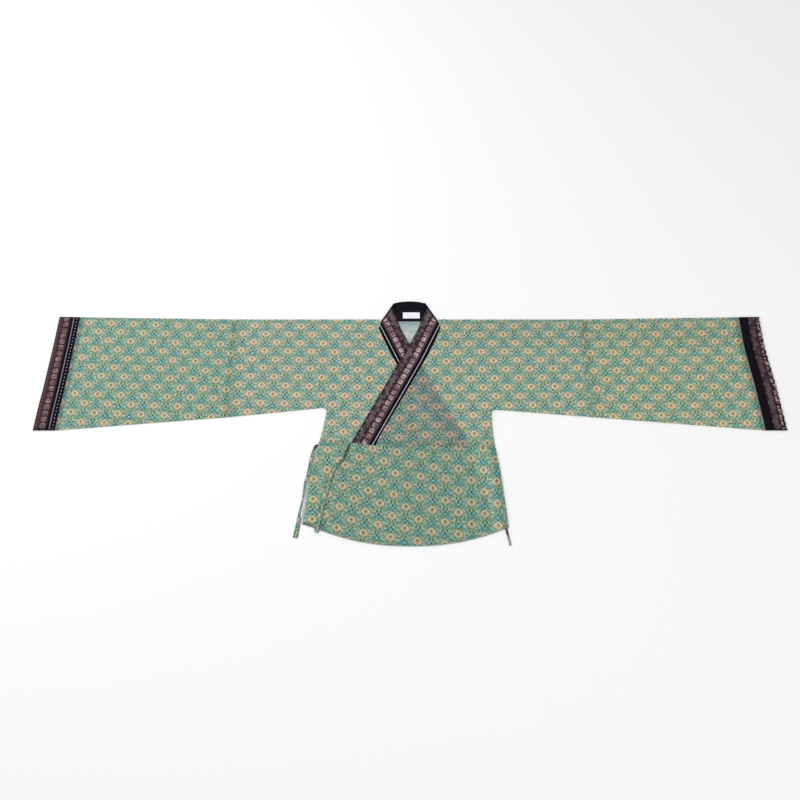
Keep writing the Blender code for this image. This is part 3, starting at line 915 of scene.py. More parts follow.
def panel_shades(piece, x, y):
    """Where a lower panel lies single, along its allowances and at the slit."""
    if piece == "skirt_back":
        yield coming("slit", x - across_skirt("right side", y, x)), "slit"
    if piece == "skirt_over":
        beyond = x - across_skirt("under front", y, x)
        rim = across_skirt("left side", y, x) - x
        turned_in = near("side allowance", rim)
        yield coming("single layer", beyond) * (1.0 - turned_in), "single layer"
        yield turned_in, "allowance"
        yield coming("slightly pale", x), "slightly pale"


def soft_shades(piece, x, y):
    """The soft shades that fall on a piece."""
    for names, x0, y0, x1, y1, reach, name in SHADES:
        if piece in names:
            distance, _, _ = nearest(pairs(x, y), [(x0, y0), (x1, y1)])
            yield np.exp(-(distance / reach) ** 2), name


def tint_of(piece, x, y):
    """Colour that each laid point is multiplied by: thin cloth shows what lies beneath, and painted
    shadows and shade fall on it.
    """
    tint = np.ones((len(x), 3)) * np.array(PIECE_TINTS.get(piece, (1.0, 1.0, 1.0)))
    shades = [*seam_and_shoulder_shades(piece, x, y)]
    if piece in ("half_left", "overlap_over"):
        shades += over_front_shades(x, y)
    shades += [*panel_shades(piece, x, y), *soft_shades(piece, x, y)]
    for mask, name in shades:
        tint = tint * tinted(mask, name)
    return tint


def tinted(mask, name):
    """A tint's share at each point: none where the mask is 0."""
    return lerp(1.0, np.array(TINTS[name]), mask[:, None])


class Cloth:
    """A piece of cloth being laid: its points, its faces, and which lie on the back."""

    def __init__(self):
        self.points = []
        self.faces = []
        self.behind = []

    def add(self, points, faces, behind):
        first = len(self.points)
        self.points += [tuple(point) for point in points]
        for face in faces:
            self.faces.append(tuple(first + k for k in face))
            self.behind.append(behind)
        return list(range(first, first + len(points)))

    def panel(self, outline, height, behind):
        """Fills a closed outline evenly. Returns the indices of its outline points."""
        edge = np.array(outline, float)
        low, high = edge.min(0), edge.max(0)
        step = CLOTH_STEP
        row_step = step * math.sqrt(3.0) / 2.0
        inner = []
        for row in range(int((high[1] - low[1]) / row_step) + 1):
            for column in range(int((high[0] - low[0]) / step) + 1):
                inner.append((low[0] + (column + 0.5 * (row % 2)) * step, low[1] + row * row_step))
        inner = np.array(inner)
        inner = inner[contains(edge, inner)]
        distance, _, _ = nearest(inner, np.vstack([edge, edge[:1]]))
        inner = inner[distance > EDGE_CLEARANCE * step]
        flat = [Vector(point) for point in np.vstack([edge, inner])]
        ring = [(k, (k + 1) % len(edge)) for k in range(len(edge))]
        places, _, faces, sources, _, _ = delaunay_2d_cdt(flat, ring, [], 1, SAME_PLACE)
        xy = np.array([tuple(place) for place in places])
        z = height(xy[:, 0], xy[:, 1])
        made = self.add(np.column_stack([xy, z]), faces, behind)
        outline_at = {}
        for index, origin in enumerate(sources):
            for source in origin:
                outline_at[source] = made[index]
        return [outline_at[k] for k in range(len(edge))]

    def sheet(self, rows, behind):
        """Quads between equal rows of points. Returns the indices of each row."""
        wide = len(rows[0])
        flat = [point for row in rows for point in row]
        faces = []
        for row in range(len(rows) - 1):
            for k in range(wide - 1):
                at = row * wide + k
                faces.append((at, at + 1, at + wide + 1, at + wide))
        made = self.add(flat, faces, behind)
        return [made[row * wide:(row + 1) * wide] for row in range(len(rows))]

    def turn(self, front, back, outward):
        """Round fold from the front layer's edge points to the back layer's."""
        rows = [front]
        for step in range(1, FOLD_STEPS):
            angle = math.pi * (0.5 - step / FOLD_STEPS)
            row = []
            for k, (upper, lower) in enumerate(zip(front, back)):
                x0, y0, z0 = self.points[upper]
                x1, y1, z1 = self.points[lower]
                reach = abs(z0 - z1) / 2 * math.cos(angle)
                share = 0.5 - 0.5 * math.sin(angle)
                self.points.append((
                    lerp(x0, x1, share) + outward[k][0] * reach,
                    lerp(y0, y1, share) + outward[k][1] * reach,
                    (z0 + z1) / 2 + (z0 - z1) / 2 * math.sin(angle),
                ))
                row.append(len(self.points) - 1)
            rows.append(row)
        rows.append(back)
        for number, (first, second) in enumerate(zip(rows, rows[1:])):
            for k in range(len(first) - 1):
                self.faces.append((first[k], first[k + 1], second[k + 1], second[k]))
                self.behind.append(number >= FOLD_STEPS / 2)

    def finish(self, name, wall, materials, place, tint=None):
        """Makes the thick, shaded cloth. Place gives the print's or trim's map.

        The first of the materials is its face and the last its wrong side.
        """
        mesh = bpy.data.meshes.new(name)
        points = np.array(self.points)
        laid = points + np.array([0.0, SHOULDER_AT, 0.0])
        mesh.from_pydata(laid.tolist(), [], self.faces)
        grain = mesh.uv_layers.new(name="Grain")
        corner = np.zeros(len(mesh.loops), np.int32)
        mesh.loops.foreach_get("vertex_index", corner)
        behind = np.repeat(np.array(self.behind), [len(face) for face in self.faces])
        front_map = place(points, False)
        back_map = place(points, True)
        chosen = np.where(behind[:, None], back_map[corner], front_map[corner])
        grain.uv.foreach_set("vector", chosen.astype(np.float32).ravel())
        shade = mesh.attributes.new("tint", "FLOAT_COLOR", "POINT")
        values = np.ones((len(points), 4), np.float32)
        if tint is not None:
            values[:, :3] = tint(points[:, 0], points[:, 1])
        shade.data.foreach_set("color", values.ravel())
        upright(mesh, self.behind)
        piece = bring_in(name, mesh)
        for material in materials:
            mesh.materials.append(bpy.data.materials[material])
        thicken = piece.modifiers.new("wall", "SOLIDIFY")
        thicken.thickness = wall
        thicken.offset = 1.0
        thicken.material_offset = len(materials) - 1
        settle(piece)
        return piece


def contains(outline, points):
    """Which points lie inside a closed outline."""
    inside = np.zeros(len(points), bool)
    x, y = points[:, 0], points[:, 1]
    last = outline[-1]
    for current in outline:
        crosses = (current[1] > y) != (last[1] > y)
        with np.errstate(divide="ignore", invalid="ignore"):
            at = (last[0] - current[0]) * (y - current[1]) / (last[1] - current[1]) + current[0]
        inside ^= crosses & (x < at)
        last = current
    return inside


def upright(mesh, behind):
    """Turns the faces one way, so that the front looks up and the back looks down."""
    made = bmesh.new()
    made.from_mesh(mesh)
    bmesh.ops.recalc_face_normals(made, faces=made.faces)
    made.faces.ensure_lookup_table()
    upward = sum(face.normal.z * face.calc_area() for face, back in zip(made.faces, behind) if not back)
    if upward < 0:
        bmesh.ops.reverse_faces(made, faces=made.faces)
    made.to_mesh(mesh)
    made.free()


def bring_in(name, data):
    """A new object in the scene."""
    made = bpy.data.objects.new(name, data)
    bpy.context.scene.collection.objects.link(made)
    return made


def settle(piece):
    """Applies the piece's modifiers and shades it smooth up to its sharp edges."""
    graph = bpy.context.evaluated_depsgraph_get()
    mesh = bpy.data.meshes.new_from_object(piece.evaluated_get(graph), depsgraph=graph)
    mesh.name = piece.name
    piece.modifiers.clear()
    piece.data = mesh
    mesh.shade_smooth()
    mesh.set_sharp_from_angle(angle=math.radians(SHARP_ANGLE))


def dress(piece, node, slot):
    """Lets a finished piece stand for its node, on the part's one body."""
    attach(piece, "root")
    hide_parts(node)
    return piece


def print_map(piece):
    """Where a piece's points fall on the print; a back runs on from the shoulder fold."""
    def place(points, behind):
        return print_place(piece, points[:, 0], -points[:, 1] if behind else points[:, 1])
    return place


def dress_cotton(cloth, name, face_down=False):
    """Makes and dresses one laid piece of the printed cotton."""
    sides = ("printed cotton", "cotton wrong side")
    piece = cloth.finish(
        name, CLOTH_WALL, sides[::-1] if face_down else sides,
        print_map(name), lambda x, y: tint_of(name, x, y),
    )
    return dress(piece, name, "printed_cloth")


class Nodes:
    """Places nodes in a tree and joins them, each from its inputs to its outputs."""

    def __init__(self, tree):
        self.tree = tree

    def feed(self, socket, value):
        if isinstance(value, bpy.types.NodeSocket):
            self.tree.links.new(value, socket)
        else:
            socket.default_value = value

    def add(self, kind, inputs=None, **settings):
        node = self.tree.nodes.new(kind)
        for name, value in settings.items():
            setattr(node, name, value)
        for key, value in (inputs or {}).items():
            self.feed(node.inputs[key], value)
        return node

    def math(self, operation, *values, clamp=False):
        node = self.add("ShaderNodeMath", operation=operation, use_clamp=clamp)
        for socket, value in zip(node.inputs, values):
            self.feed(socket, value)
        return node.outputs[0]

    def vector(self, operation, *values):
        node = self.add("ShaderNodeVectorMath", operation=operation)
        for socket, value in zip(node.inputs, values):
            self.feed(socket, value)
        return node.outputs[0]

    def point(self, x, y):
        return self.add("ShaderNodeCombineXYZ", {"X": x, "Y": y}).outputs[0]

    def parts(self, vector):
        """The X, Y and Z of a vector."""
        return self.add("ShaderNodeSeparateXYZ", {0: vector}).outputs

    def mix(self, share, first, second, blend="MIX"):
        """A colour mix; inputs 0, 6 and 7 are its factor and its two colours."""
        node = self.add("ShaderNodeMix", data_type="RGBA", blend_type=blend)
        self.feed(node.inputs[0], share)
        self.feed(node.inputs[6], first)
        self.feed(node.inputs[7], second)
        return node.outputs[2]

    def ramp(self, value, low, high, start=0.0, end=1.0):
        """An even S from one value to another."""
        node = self.add("ShaderNodeMapRange", interpolation_type="SMOOTHSTEP")
        for socket, given in zip(node.inputs, (value, low, high, start, end)):
            self.feed(socket, given)
        return node.outputs[0]

    def noise(self, vector, scale, detail=2.0, rough=0.5):
        node = self.add("ShaderNodeTexNoise", {"Vector": vector, "Scale": scale})
        node.inputs["Detail"].default_value = detail
        node.inputs["Roughness"].default_value = rough
        return node.outputs["Fac"]

    def group(self, name, inputs):
        node = self.add("ShaderNodeGroup", node_tree=bpy.data.node_groups[name])
        for key, value in inputs.items():
            self.feed(node.inputs[key], value)
        return node.outputs


def new_group(name, inputs, outputs):
    """An empty node group with its sockets, and its placer, input and output nodes."""
    tree = bpy.data.node_groups.new(name, "ShaderNodeTree")
    for direction, sockets in (("INPUT", inputs), ("OUTPUT", outputs)):
        for socket, kind in sockets:
            tree.interface.new_socket(socket, in_out=direction, socket_type="NodeSocket" + kind)
    nodes = Nodes(tree)
    given = nodes.add("NodeGroupInput").outputs
    result = nodes.add("NodeGroupOutput").inputs
    return nodes, given, result


def make_mark_group():
    """One printed or woven mark: a soft-edged blunt diamond, repeated along y."""
    nodes, given, result = new_group(
        "mark",
        [("Point", "Vector"), ("Centre", "Vector"), ("Reach", "Vector"), ("Tilt", "Float"),
         ("Bluntness", "Float"), ("Inside", "Float"), ("Outside", "Float"), ("Repeat", "Vector")],
        [("Mask", "Float")],
    )
    offset = nodes.vector("SUBTRACT", given["Point"], given["Centre"])
    opposite = nodes.vector("MULTIPLY", given["Repeat"], (-1.0, -1.0, -1.0))
    wrapped = nodes.vector("WRAP", offset, given["Repeat"], opposite)
    turned = nodes.add(
        "ShaderNodeVectorRotate", {"Vector": wrapped, "Angle": given["Tilt"]}, rotation_type="Z_AXIS"
    ).outputs[0]
    part = nodes.parts(nodes.vector("ABSOLUTE", nodes.vector("DIVIDE", turned, given["Reach"])))
    powers = [nodes.math("POWER", part[axis], given["Bluntness"]) for axis in ("X", "Y")]
    radius = nodes.math("ADD", *powers)
    nodes.feed(result["Mask"], nodes.ramp(radius, given["Inside"], given["Outside"], 1.0, 0.0))


def mark(nodes, point, centre, reach, tilt, bluntness, softness, repeat):
    """Mask of one mark; sizes in millimetres, tilt in degrees."""
    return nodes.group("mark", {
        "Point": point, "Centre": (*centre, 0.0), "Reach": (*reach, 1.0),
        "Tilt": -math.radians(tilt), "Bluntness": bluntness,
        "Inside": (1.0 - softness) ** bluntness, "Outside": (1.0 + softness) ** bluntness,
        "Repeat": (NO_REPEAT, repeat / 2, 1.0),
    })["Mask"]


def make_stripe_group():
    """A stripe between two distances, with a narrow soft edge."""
    nodes, given, result = new_group(
        "stripe",
        [("Across", "Float"), ("From", "Float"), ("To", "Float"), ("Softness", "Float")],
        [("Mask", "Float")],
    )
    edges = []
    for name in ("From", "To"):
        low = nodes.math("SUBTRACT", given[name], given["Softness"])
        high = nodes.math("ADD", given[name], given["Softness"])
        edges.append(nodes.ramp(given["Across"], low, high))
    nodes.feed(result["Mask"], nodes.math("SUBTRACT", edges[0], edges[1], clamp=True))


def make_weave_group():
    """Plain weave with slubs: a thread height, and a faint painted shade, darker between the threads."""
    nodes, given, result = new_group(
        "thread weave",
        [("Grain", "Vector"), ("Pitch", "Float")],
        [("Height", "Float"), ("Shade", "Float")],
    )
    part = nodes.parts(given["Grain"])
    turn = nodes.math("DIVIDE", math.pi, given["Pitch"])
    wander = nodes.math("MULTIPLY", nodes.noise(given["Grain"], WANDER_SCALE, 3.0), WANDER_TURN)
    waves = []
    for axis in ("X", "Y"):
        angle = nodes.math("ADD", nodes.math("MULTIPLY", part[axis], turn), wander)
        waves.append(nodes.math("SINE", angle))
    height = nodes.math("MULTIPLY_ADD", nodes.math("MULTIPLY", *waves), 0.5, 0.5)
    slubs = nodes.noise(nodes.vector("MULTIPLY", given["Grain"], LONG_SLUB_SCALE), 1.0, 3.0, 0.6)
    raised = nodes.math("ADD", height, nodes.math("MULTIPLY", slubs, SLUB_HEIGHT))
    nodes.feed(result["Height"], raised)
    shade = nodes.math("MULTIPLY_ADD", height, THREAD_SHADE, 1.0 - THREAD_SHADE)
    nodes.feed(result["Shade"], nodes.math("MULTIPLY_ADD", slubs, SLUB_SHADE, shade))


def make_print_group(colours):
    """The repeating print: half-dropped medallions over leaves and dots."""
    nodes, given, result = new_group(
        "cotton print", [("Grain", "Vector")], [("Colour", "Color")]
    )
    scaled = nodes.vector("MULTIPLY", given["Grain"], (MILLIMETRES, MILLIMETRES, MILLIMETRES))
    point, cell = repeat_point(nodes, scaled)
    chance = nodes.add("ShaderNodeTexWhiteNoise", {"Vector": cell}).outputs["Value"]
    varied = {
        "heart": nodes.mix(chance, colours["heart"], colours["peach"]),
        "cream": nodes.mix(nodes.math("MULTIPLY", chance, 0.5), colours["cream"], colours["blush"]),
    }
    colour = draw_marks(nodes, point, print_ground(nodes, scaled, colours), GROUND_MARKS, colours)
    for ink, scale in FLECKS:
        fleck = nodes.noise(scaled, scale, 1.0)
        colour = nodes.mix(nodes.ramp(fleck, *FLECK_BAND, 0.0, FLECK_SHARE), colour, colours[ink])
    patches = nodes.noise(scaled, UNEVEN_SCALE, 1.0)
    least = [1.0 - gain / 2 for gain in UNEVEN_DYES]
    uneven = nodes.vector("MULTIPLY_ADD", patches, UNEVEN_DYES, least)
    colour = nodes.mix(1.0, colour, uneven, "MULTIPLY")
    colour = draw_marks(nodes, point, colour, MEDALLION_MARKS, {**colours, **varied})
    faded = nodes.ramp(nodes.noise(scaled, FADE_SCALE, 1.0), *FADE_BAND, 0.0, FADE_SHARE)
    nodes.feed(result["Colour"], nodes.mix(faded, colour, colours["ground"]))


def repeat_point(nodes, scaled):
    """The point within one half-dropped repeat, slightly unsteady, and the number of its cell."""
    wobble = nodes.add("ShaderNodeTexNoise", {"Vector": scaled, "Scale": UNSTEADY_SCALE})
    spread = (2 * UNSTEADY, 2 * UNSTEADY, 0.0)
    shifted = nodes.vector("MULTIPLY_ADD", wobble.outputs["Color"], spread, scaled)
    part = nodes.parts(nodes.vector("SUBTRACT", shifted, (UNSTEADY, UNSTEADY, 0.0)))
    half_width = REPEAT_WIDTH / 2
    column = nodes.math("FLOOR", nodes.math("MULTIPLY_ADD", part["X"], 1 / half_width, 0.5))
    side_x = nodes.math("ABSOLUTE", nodes.math("MULTIPLY_ADD", column, -half_width, part["X"]))
    odd = nodes.math("WRAP", column, 2.0, 0.0)
    dropped = nodes.math("MULTIPLY_ADD", odd, -REPEAT_HEIGHT / 2, part["Y"])
    row = nodes.math("FLOOR", nodes.math("MULTIPLY_ADD", dropped, 1 / REPEAT_HEIGHT, 0.5))
    return nodes.point(side_x, dropped), nodes.point(column, row)


def print_ground(nodes, scaled, colours):
    """The print's ground, in patches, with pale and yellow-green specks."""
    blot = nodes.ramp(nodes.noise(scaled, BLOT_SCALE, 3.0), *BLOT_BAND)
    ground = nodes.mix(blot, colours["ground"], colours["mist_ground"])
    speck = nodes.noise(scaled, SPECK_SCALE, 2.0)
    ground = nodes.mix(nodes.ramp(speck, *PALE_SPECKS), ground, colours["mist"])
    return nodes.mix(nodes.ramp(speck, *LEAF_SPECKS), ground, colours["leaf"])


def draw_marks(nodes, point, colour, marks, inks):
    """Marks printed one over another, each also in the half-dropped column if it reaches there."""
    half_width = REPEAT_WIDTH / 2
    for x, y, wide, high, tilt, blunt, soft, strength, ink in marks:
        centres = [(x, y)]
        if x + wide > half_width / 2 and x > 0.0:
            centres.append((half_width - x, y + REPEAT_HEIGHT / 2))
        for number, centre in enumerate(centres):
            lean = tilt if number == 0 else -tilt
            mask = mark(nodes, point, centre, (wide, high), lean, blunt, soft, REPEAT_HEIGHT)
            colour = nodes.mix(nodes.math("MULTIPLY", mask, strength), colour, inks[ink])
    return colour


def make_scroll_group():
    """A woven vine between two edges, with a curled leaf in each bend."""
    nodes, given, result = new_group(
        "woven scroll",
        [("Along", "Float"), ("Across", "Float")],
        [("Vine", "Float"), ("Heart", "Float")],
    )
    point = nodes.point(given["Across"], given["Along"])
    angle = nodes.math("MULTIPLY", given["Along"], math.tau / SCROLL_PITCH)
    sway = nodes.math("MULTIPLY_ADD", nodes.math("SINE", angle), SCROLL_SWAY, given["Across"])
    vine = nodes.ramp(nodes.math("ABSOLUTE", sway), *VINE_EDGE, 1.0, 0.0)
    hearts = []
    for bend, hand in ((0.25, 1.0), (0.75, -1.0)):
        middle = (hand * LEAF_AT, bend * SCROLL_PITCH)
        outer, inner, dot = (
            mark(nodes, point, middle, reach, 0, LEAF_BLUNTNESS, soft, SCROLL_PITCH)
            for reach, soft in LEAF_SHAPES
        )
        ring = nodes.math("SUBTRACT", outer, inner, clamp=True)
        vine = nodes.math("MAXIMUM", nodes.math("SUBTRACT", vine, inner, clamp=True), ring)
        hearts.append(dot)
    nodes.feed(result["Vine"], vine)
    nodes.feed(result["Heart"], nodes.math("MAXIMUM", *hearts))


def make_roundel_group():
    """A row of woven roundels: a light rounded square, its inner ring and its petals."""
    nodes, given, result = new_group(
        "woven roundel",
        [("Along", "Float"), ("Across", "Float")],
        [("Light", "Float"), ("Line", "Float")],
    )
    point = nodes.point(given["Across"], given["Along"])
    body, outer, inner, petals = (
        mark(nodes, point, (0.0, 0.0), reach, 0, blunt, ROUNDEL_SOFTNESS, ROUNDEL_PITCH)
        for reach, blunt in ROUNDEL_SHAPES
    )
    ring = nodes.math("SUBTRACT", outer, inner, clamp=True)
    nodes.feed(result["Light"], body)
    nodes.feed(result["Line"], nodes.math("MAXIMUM", ring, petals))


def new_material(name, roughness, sheen=0.0, specular=0.2):
    """A material with its placer and its Principled shader."""
    material = bpy.data.materials.new(name)
    material.use_nodes = True
    nodes = Nodes(material.node_tree)
    shader = material.node_tree.nodes["Principled BSDF"]
    shader.inputs["Roughness"].default_value = roughness
    shader.inputs["Specular IOR Level"].default_value = specular
    shader.inputs["Sheen Weight"].default_value = sheen
    shader.inputs["Sheen Roughness"].default_value = 0.5
    return material, nodes, shader


def grain_of(nodes):
    return nodes.add("ShaderNodeUVMap", uv_map="Grain").outputs[0]


def lay_tints(nodes, colour):
    """A colour multiplied by the tint that each point of the cloth carries: what shows through it, and
    painted shade.
    """
    tint = nodes.add("ShaderNodeAttribute", attribute_name="tint").outputs["Color"]
    return nodes.mix(1.0, colour, tint, "MULTIPLY")


def weave_in(nodes, shader, weave, colour, height, relief):
    """Gives a shader its cloth's colour, with its threads' painted shade, and its threads' relief."""
    shade = nodes.add("ShaderNodeCombineColor", dict.fromkeys(("Red", "Green", "Blue"), weave["Shade"]))
    colour = nodes.mix(1.0, colour, shade.outputs[0], "MULTIPLY")
    nodes.feed(shader.inputs["Base Color"], colour)
    depth, strength = relief
    bump = nodes.add("ShaderNodeBump", {"Height": height, "Distance": depth, "Strength": strength})
    nodes.feed(shader.inputs["Normal"], bump.outputs[0])


def make_cotton(name, wrong_side=False):
    """Printed cotton: its face, or its paler wrong side with the print showing through."""
    material, nodes, shader = new_material(name, *COTTON_FINISH)
    sizes, colours = bpy.context.scene.top_sizes, palette()
    grain = grain_of(nodes)
    printed = nodes.group("cotton print", {"Grain": grain})["Colour"]
    if wrong_side:
        printed = nodes.mix(WRONG_SIDE_SHARE, printed, colours["wrong_side"])
    weave = nodes.group("thread weave", {"Grain": grain, "Pitch": sizes.thread_pitch})
    weave_in(nodes, shader, weave, lay_tints(nodes, printed), weave["Height"], COTTON_RELIEF)
    return material


def make_trim(name, rows):
    """Woven ribbon with its rows across; the map's x runs along it and y across."""
    material, nodes, shader = new_material(name, *TRIM_FINISH)
    colours = palette()
    grain = grain_of(nodes)
    part = nodes.parts(grain)
    along = nodes.math("MULTIPLY", part["X"], MILLIMETRES)
    across_mm = nodes.math("MULTIPLY", part["Y"], MILLIMETRES)
    weave = nodes.group("thread weave", {"Grain": grain, "Pitch": TRIM_PITCH})
    rib = nodes.math("SINE", nodes.math("MULTIPLY", along, math.tau / RIB_PITCH))
    # Painted sheen: slow patches that brighten and dim the roundels and the scroll's vine
    sheen = nodes.noise(grain, SHEEN_SCALE, 2.0)
    worn = nodes.noise(grain, WORN_SCALE, 1.0)
    colour = colours["trim_black"]
    height = weave["Height"]
    for start, end, kind in stripes(rows):
        mask = nodes.group("stripe", {
            "Across": part["Y"], "From": start, "To": end, "Softness": ROW_SOFTNESS,
        })["Mask"]
        middle = nodes.math("SUBTRACT", across_mm, (start + end) / 2 * MILLIMETRES)
        woven = woven_row(nodes, kind, colours, along, middle, sheen, worn, rib)
        colour = nodes.mix(mask, colour, woven)
        if kind == "ribbed":
            ribbed = nodes.math("MULTIPLY", rib, mask)
            height = nodes.math("MULTIPLY_ADD", ribbed, RIB_HEIGHT, height)
        if kind in CORD_ROWS:
            rough = nodes.math("MULTIPLY_ADD", mask, -CORD_GLOSS, CORDED_ROUGHNESS)
            nodes.feed(shader.inputs["Roughness"], rough)
    weave_in(nodes, shader, weave, lay_tints(nodes, colour), height, TRIM_RELIEF)
    return material


def stripes(rows):
    """Each row of a ribbon as its two edges and its kind; the last runs on past the band."""
    edges = [start for start, _ in rows] + [rows[-1][0] + LAST_ROW_WIDTH]
    return [(edges[k], edges[k + 1], kind) for k, (_, kind) in enumerate(rows)]


def woven_row(nodes, kind, colours, along, middle, sheen, worn, rib):
    """Colour of one row of the ribbon. Middle is the distance from the row's middle."""
    if kind.endswith("roundel"):
        return roundel_row(nodes, kind, colours, along, middle, sheen, worn)
    if kind.endswith("scroll"):
        scroll = nodes.group("woven scroll", {"Along": along, "Across": middle})
        thread = colours["pale_scroll" if kind == "pale scroll" else "scroll"]
        # The painted sheen dims the vine in patches
        shown = nodes.math("MULTIPLY", scroll["Vine"], nodes.ramp(sheen, *SCROLL_BAND))
        woven = nodes.mix(shown, colours["scroll_ground"], thread)
        return nodes.mix(scroll["Heart"], woven, thread)
    if kind in DOTTED_ROWS:
        reach, strength, ground, ink = DOTTED_ROWS[kind]
        point = nodes.point(middle, along)
        dot = mark(nodes, point, (0.0, 0.0), reach, 0, *DOT_SHAPE, DOT_PITCH)
        return nodes.mix(nodes.math("MULTIPLY", dot, strength), colours[ground], colours[ink])
    if kind == "ribbed":
        return nodes.mix(nodes.ramp(rib, *RIB_BAND), colours["trim_black"], colours["rib"])
    return colours["trim_black" if kind == "black" else kind]


def roundel_row(nodes, kind, colours, along, middle, sheen, worn):
    """A row of roundels, brighter and dimmer with the painted sheen, some threads of which are worn away.
    """
    roundel = nodes.group("woven roundel", {"Along": along, "Across": middle})
    dim, bright = "roundel_dim", "roundel"
    if kind == "shaded roundel":
        dim, bright = "scroll", "roundel_shaded"
    light = nodes.mix(nodes.ramp(sheen, *SHEEN_BAND), colours[dim], colours[bright])
    left = nodes.ramp(worn, *WORN_BAND, *(WORN_SHARES if kind == "worn roundel" else WHOLE_SHARES))
    light = nodes.mix(left, colours["scroll_ground"], light)
    woven = nodes.mix(roundel["Light"], colours["roundel_ground"], light)
    line = nodes.math("MULTIPLY", roundel["Line"], ROUNDEL_LINE)
    return nodes.mix(line, woven, colours["roundel_ground"])


def make_plain(name, colour, roughness, pitch):
    """Plain cloth of one dye, with its weave and a slight unevenness."""
    material, nodes, shader = new_material(name, roughness, specular=PLAIN_SPECULAR)
    grain = grain_of(nodes)
    weave = nodes.group("thread weave", {"Grain": grain, "Pitch": pitch})
    uneven = nodes.ramp(nodes.noise(grain, PLAIN_SCALE, 3.0), *PLAIN_BAND)
    paler = tuple(PALER * value for value in colour[:3]) + (1.0,)
    dyed = nodes.mix(uneven, colour, paler)
    weave_in(nodes, shader, weave, dyed, weave["Height"], PLAIN_RELIEF)
    return material


def palette():
    """The scene's colours by name."""
    colours = bpy.context.scene.top_colours
    return {name: tuple(getattr(colours, name)) + (1.0,) for name in COLOURS}


# Colours by name: what each is for, and its display value of 0 to 255
COLOURS = {
    "ground": ("Print ground", (102, 154, 140)),
    "mist_ground": ("Paler patches of the ground", (140, 170, 152)),
    "mist": ("Pale grey-green marks", (190, 200, 188)),
    "fresh": ("Light green marks", (156, 188, 160)),
    "teal": ("Teal patches", (66, 150, 146)),
    "deep_teal": ("Deep teal leaves", (40, 124, 134)),
    "leaf": ("Yellow-green leaves", (142, 158, 92)),
    "pine": ("Dark green leaves", (60, 90, 68)),
    "sand": ("Tan leaves", (204, 196, 156)),
    "umber": ("Outline of the medallions", (130, 117, 110)),
    "cream": ("Medallion", (219, 208, 176)),
    "blush": ("Pinker medallions", (224, 196, 170)),
    "rust": ("Fine line in the medallion", (200, 152, 110)),
    "peach": ("Lower petal", (202, 174, 132)),
    "heart": ("Heart of the medallion", (174, 144, 90)),
    "bark": ("Middle of the heart", (134, 106, 56)),
    "navy": ("Dark dots", (30, 48, 62)),
    "sky": ("Light blue dots", (164, 206, 206)),
    "tan": ("Tan flecks of the print", (152, 122, 104)),
    "wrong_side": ("Wrong side of the cotton", (205, 215, 227)),
    "trim_black": ("Black of the trim", (8, 5, 10)),
    "facing": ("Facing inside the collar", (11, 8, 15)),
    "purple": ("Dark purple row", (18, 9, 20)),
    "red": ("Dark red lines", (88, 34, 40)),
    "roundel_ground": ("Ground of the roundel rows", (58, 32, 36)),
    "brown": ("Reddish brown row", (72, 46, 48)),
    "mauve": ("Mauve row beside the roundels", (84, 65, 70)),
    "scroll_ground": ("Ground of the scroll row", (46, 36, 43)),
    "scroll": ("Scroll of the cuff", (110, 95, 100)),
    "pale_scroll": ("Scroll of the collar", (134, 118, 124)),
    # The painted sheen mixes roundel_dim into roundel, and on the right cuff scroll into roundel_shaded
    "roundel": ("Bright roundels", (204, 187, 187)),
    "roundel_dim": ("Dim roundels", (138, 117, 120)),
    "roundel_shaded": ("Roundels of the right cuff", (158, 136, 138)),
    "rib": ("Ribs of the black row", (18, 13, 21)),
    "lilac": ("Light cord row of the collar", (206, 204, 224)),
    "violet": ("Light cord row of the cuff", (134, 129, 158)),
    "dark_label": ("Label strip", (20, 16, 24)),
    "white_label": ("Blank label", (226, 228, 238)),
    "thread": ("Sewing thread", (92, 130, 118)),
    "dark_thread": ("Thread of the trim", (36, 28, 38)),
    "floor": ("Floor", (254, 254, 254)),
}


def colour_property(name):
    label, shown = COLOURS[name]
    return bpy.props.FloatVectorProperty(
        name=label, description=label + ", as a linear colour", subtype="COLOR", size=3,
        min=0.0, max=1.0, default=from_bytes(*shown)[:3],
    )


class TopColours(bpy.types.PropertyGroup):
    """Dyes and threads of the garment."""

    __annotations__ = {name: colour_property(name) for name in COLOURS}


class TopSizes(bpy.types.PropertyGroup):
    """Sizes that a user may change."""

    thread_pitch: bpy.props.FloatProperty(
        name="Thread pitch", description="Distance between threads of the cotton",
        default=COTTON_PITCH, min=0.0002, max=0.003, unit="LENGTH",
    )
    crease_share: bpy.props.FloatProperty(
        name="Creases", description="Height of the creases, as a share of the ironed cloth's",
        default=1.0, min=0.0, max=2.0,
    )
    view_distance: bpy.props.FloatProperty(
        name="View distance", description="From the camera to the garment",
        default=VIEW_DISTANCE, min=0.5, max=10.0, unit="LENGTH",
    )


class HANFU_OT_cloths(bpy.types.Operator):
    """Makes the shared patterns and every cloth's material"""

    bl_idname = "hanfu.cloths"
    bl_label = "Weave and print the cloths"

    def execute(self, context):
        colours = palette()
        make_mark_group()
        make_stripe_group()
        make_weave_group()
        make_print_group(colours)
        make_scroll_group()
        make_roundel_group()
        make_cotton("printed cotton")
        make_cotton("cotton wrong side", wrong_side=True)
        for name, rows in TRIM_ROWS.items():
            make_trim(name, rows)
        for name, (dye, roughness, pitch) in PLAIN_CLOTHS.items():
            make_plain(name, colours[dye], roughness, pitch)
        return {"FINISHED"}


def underarm_fold(side):
    """A half's front edge along the underarm, tucked in for its fold, and which way is out."""
    reach = np.array(UNDERARM[side])
    out = across(reach)
    depth = CLOTH_WALL + (front_z(side, side * reach[:, 0], reach[:, 1]) - CLOTH_WALL) / 2
    return reach - out * depth[:, None], out


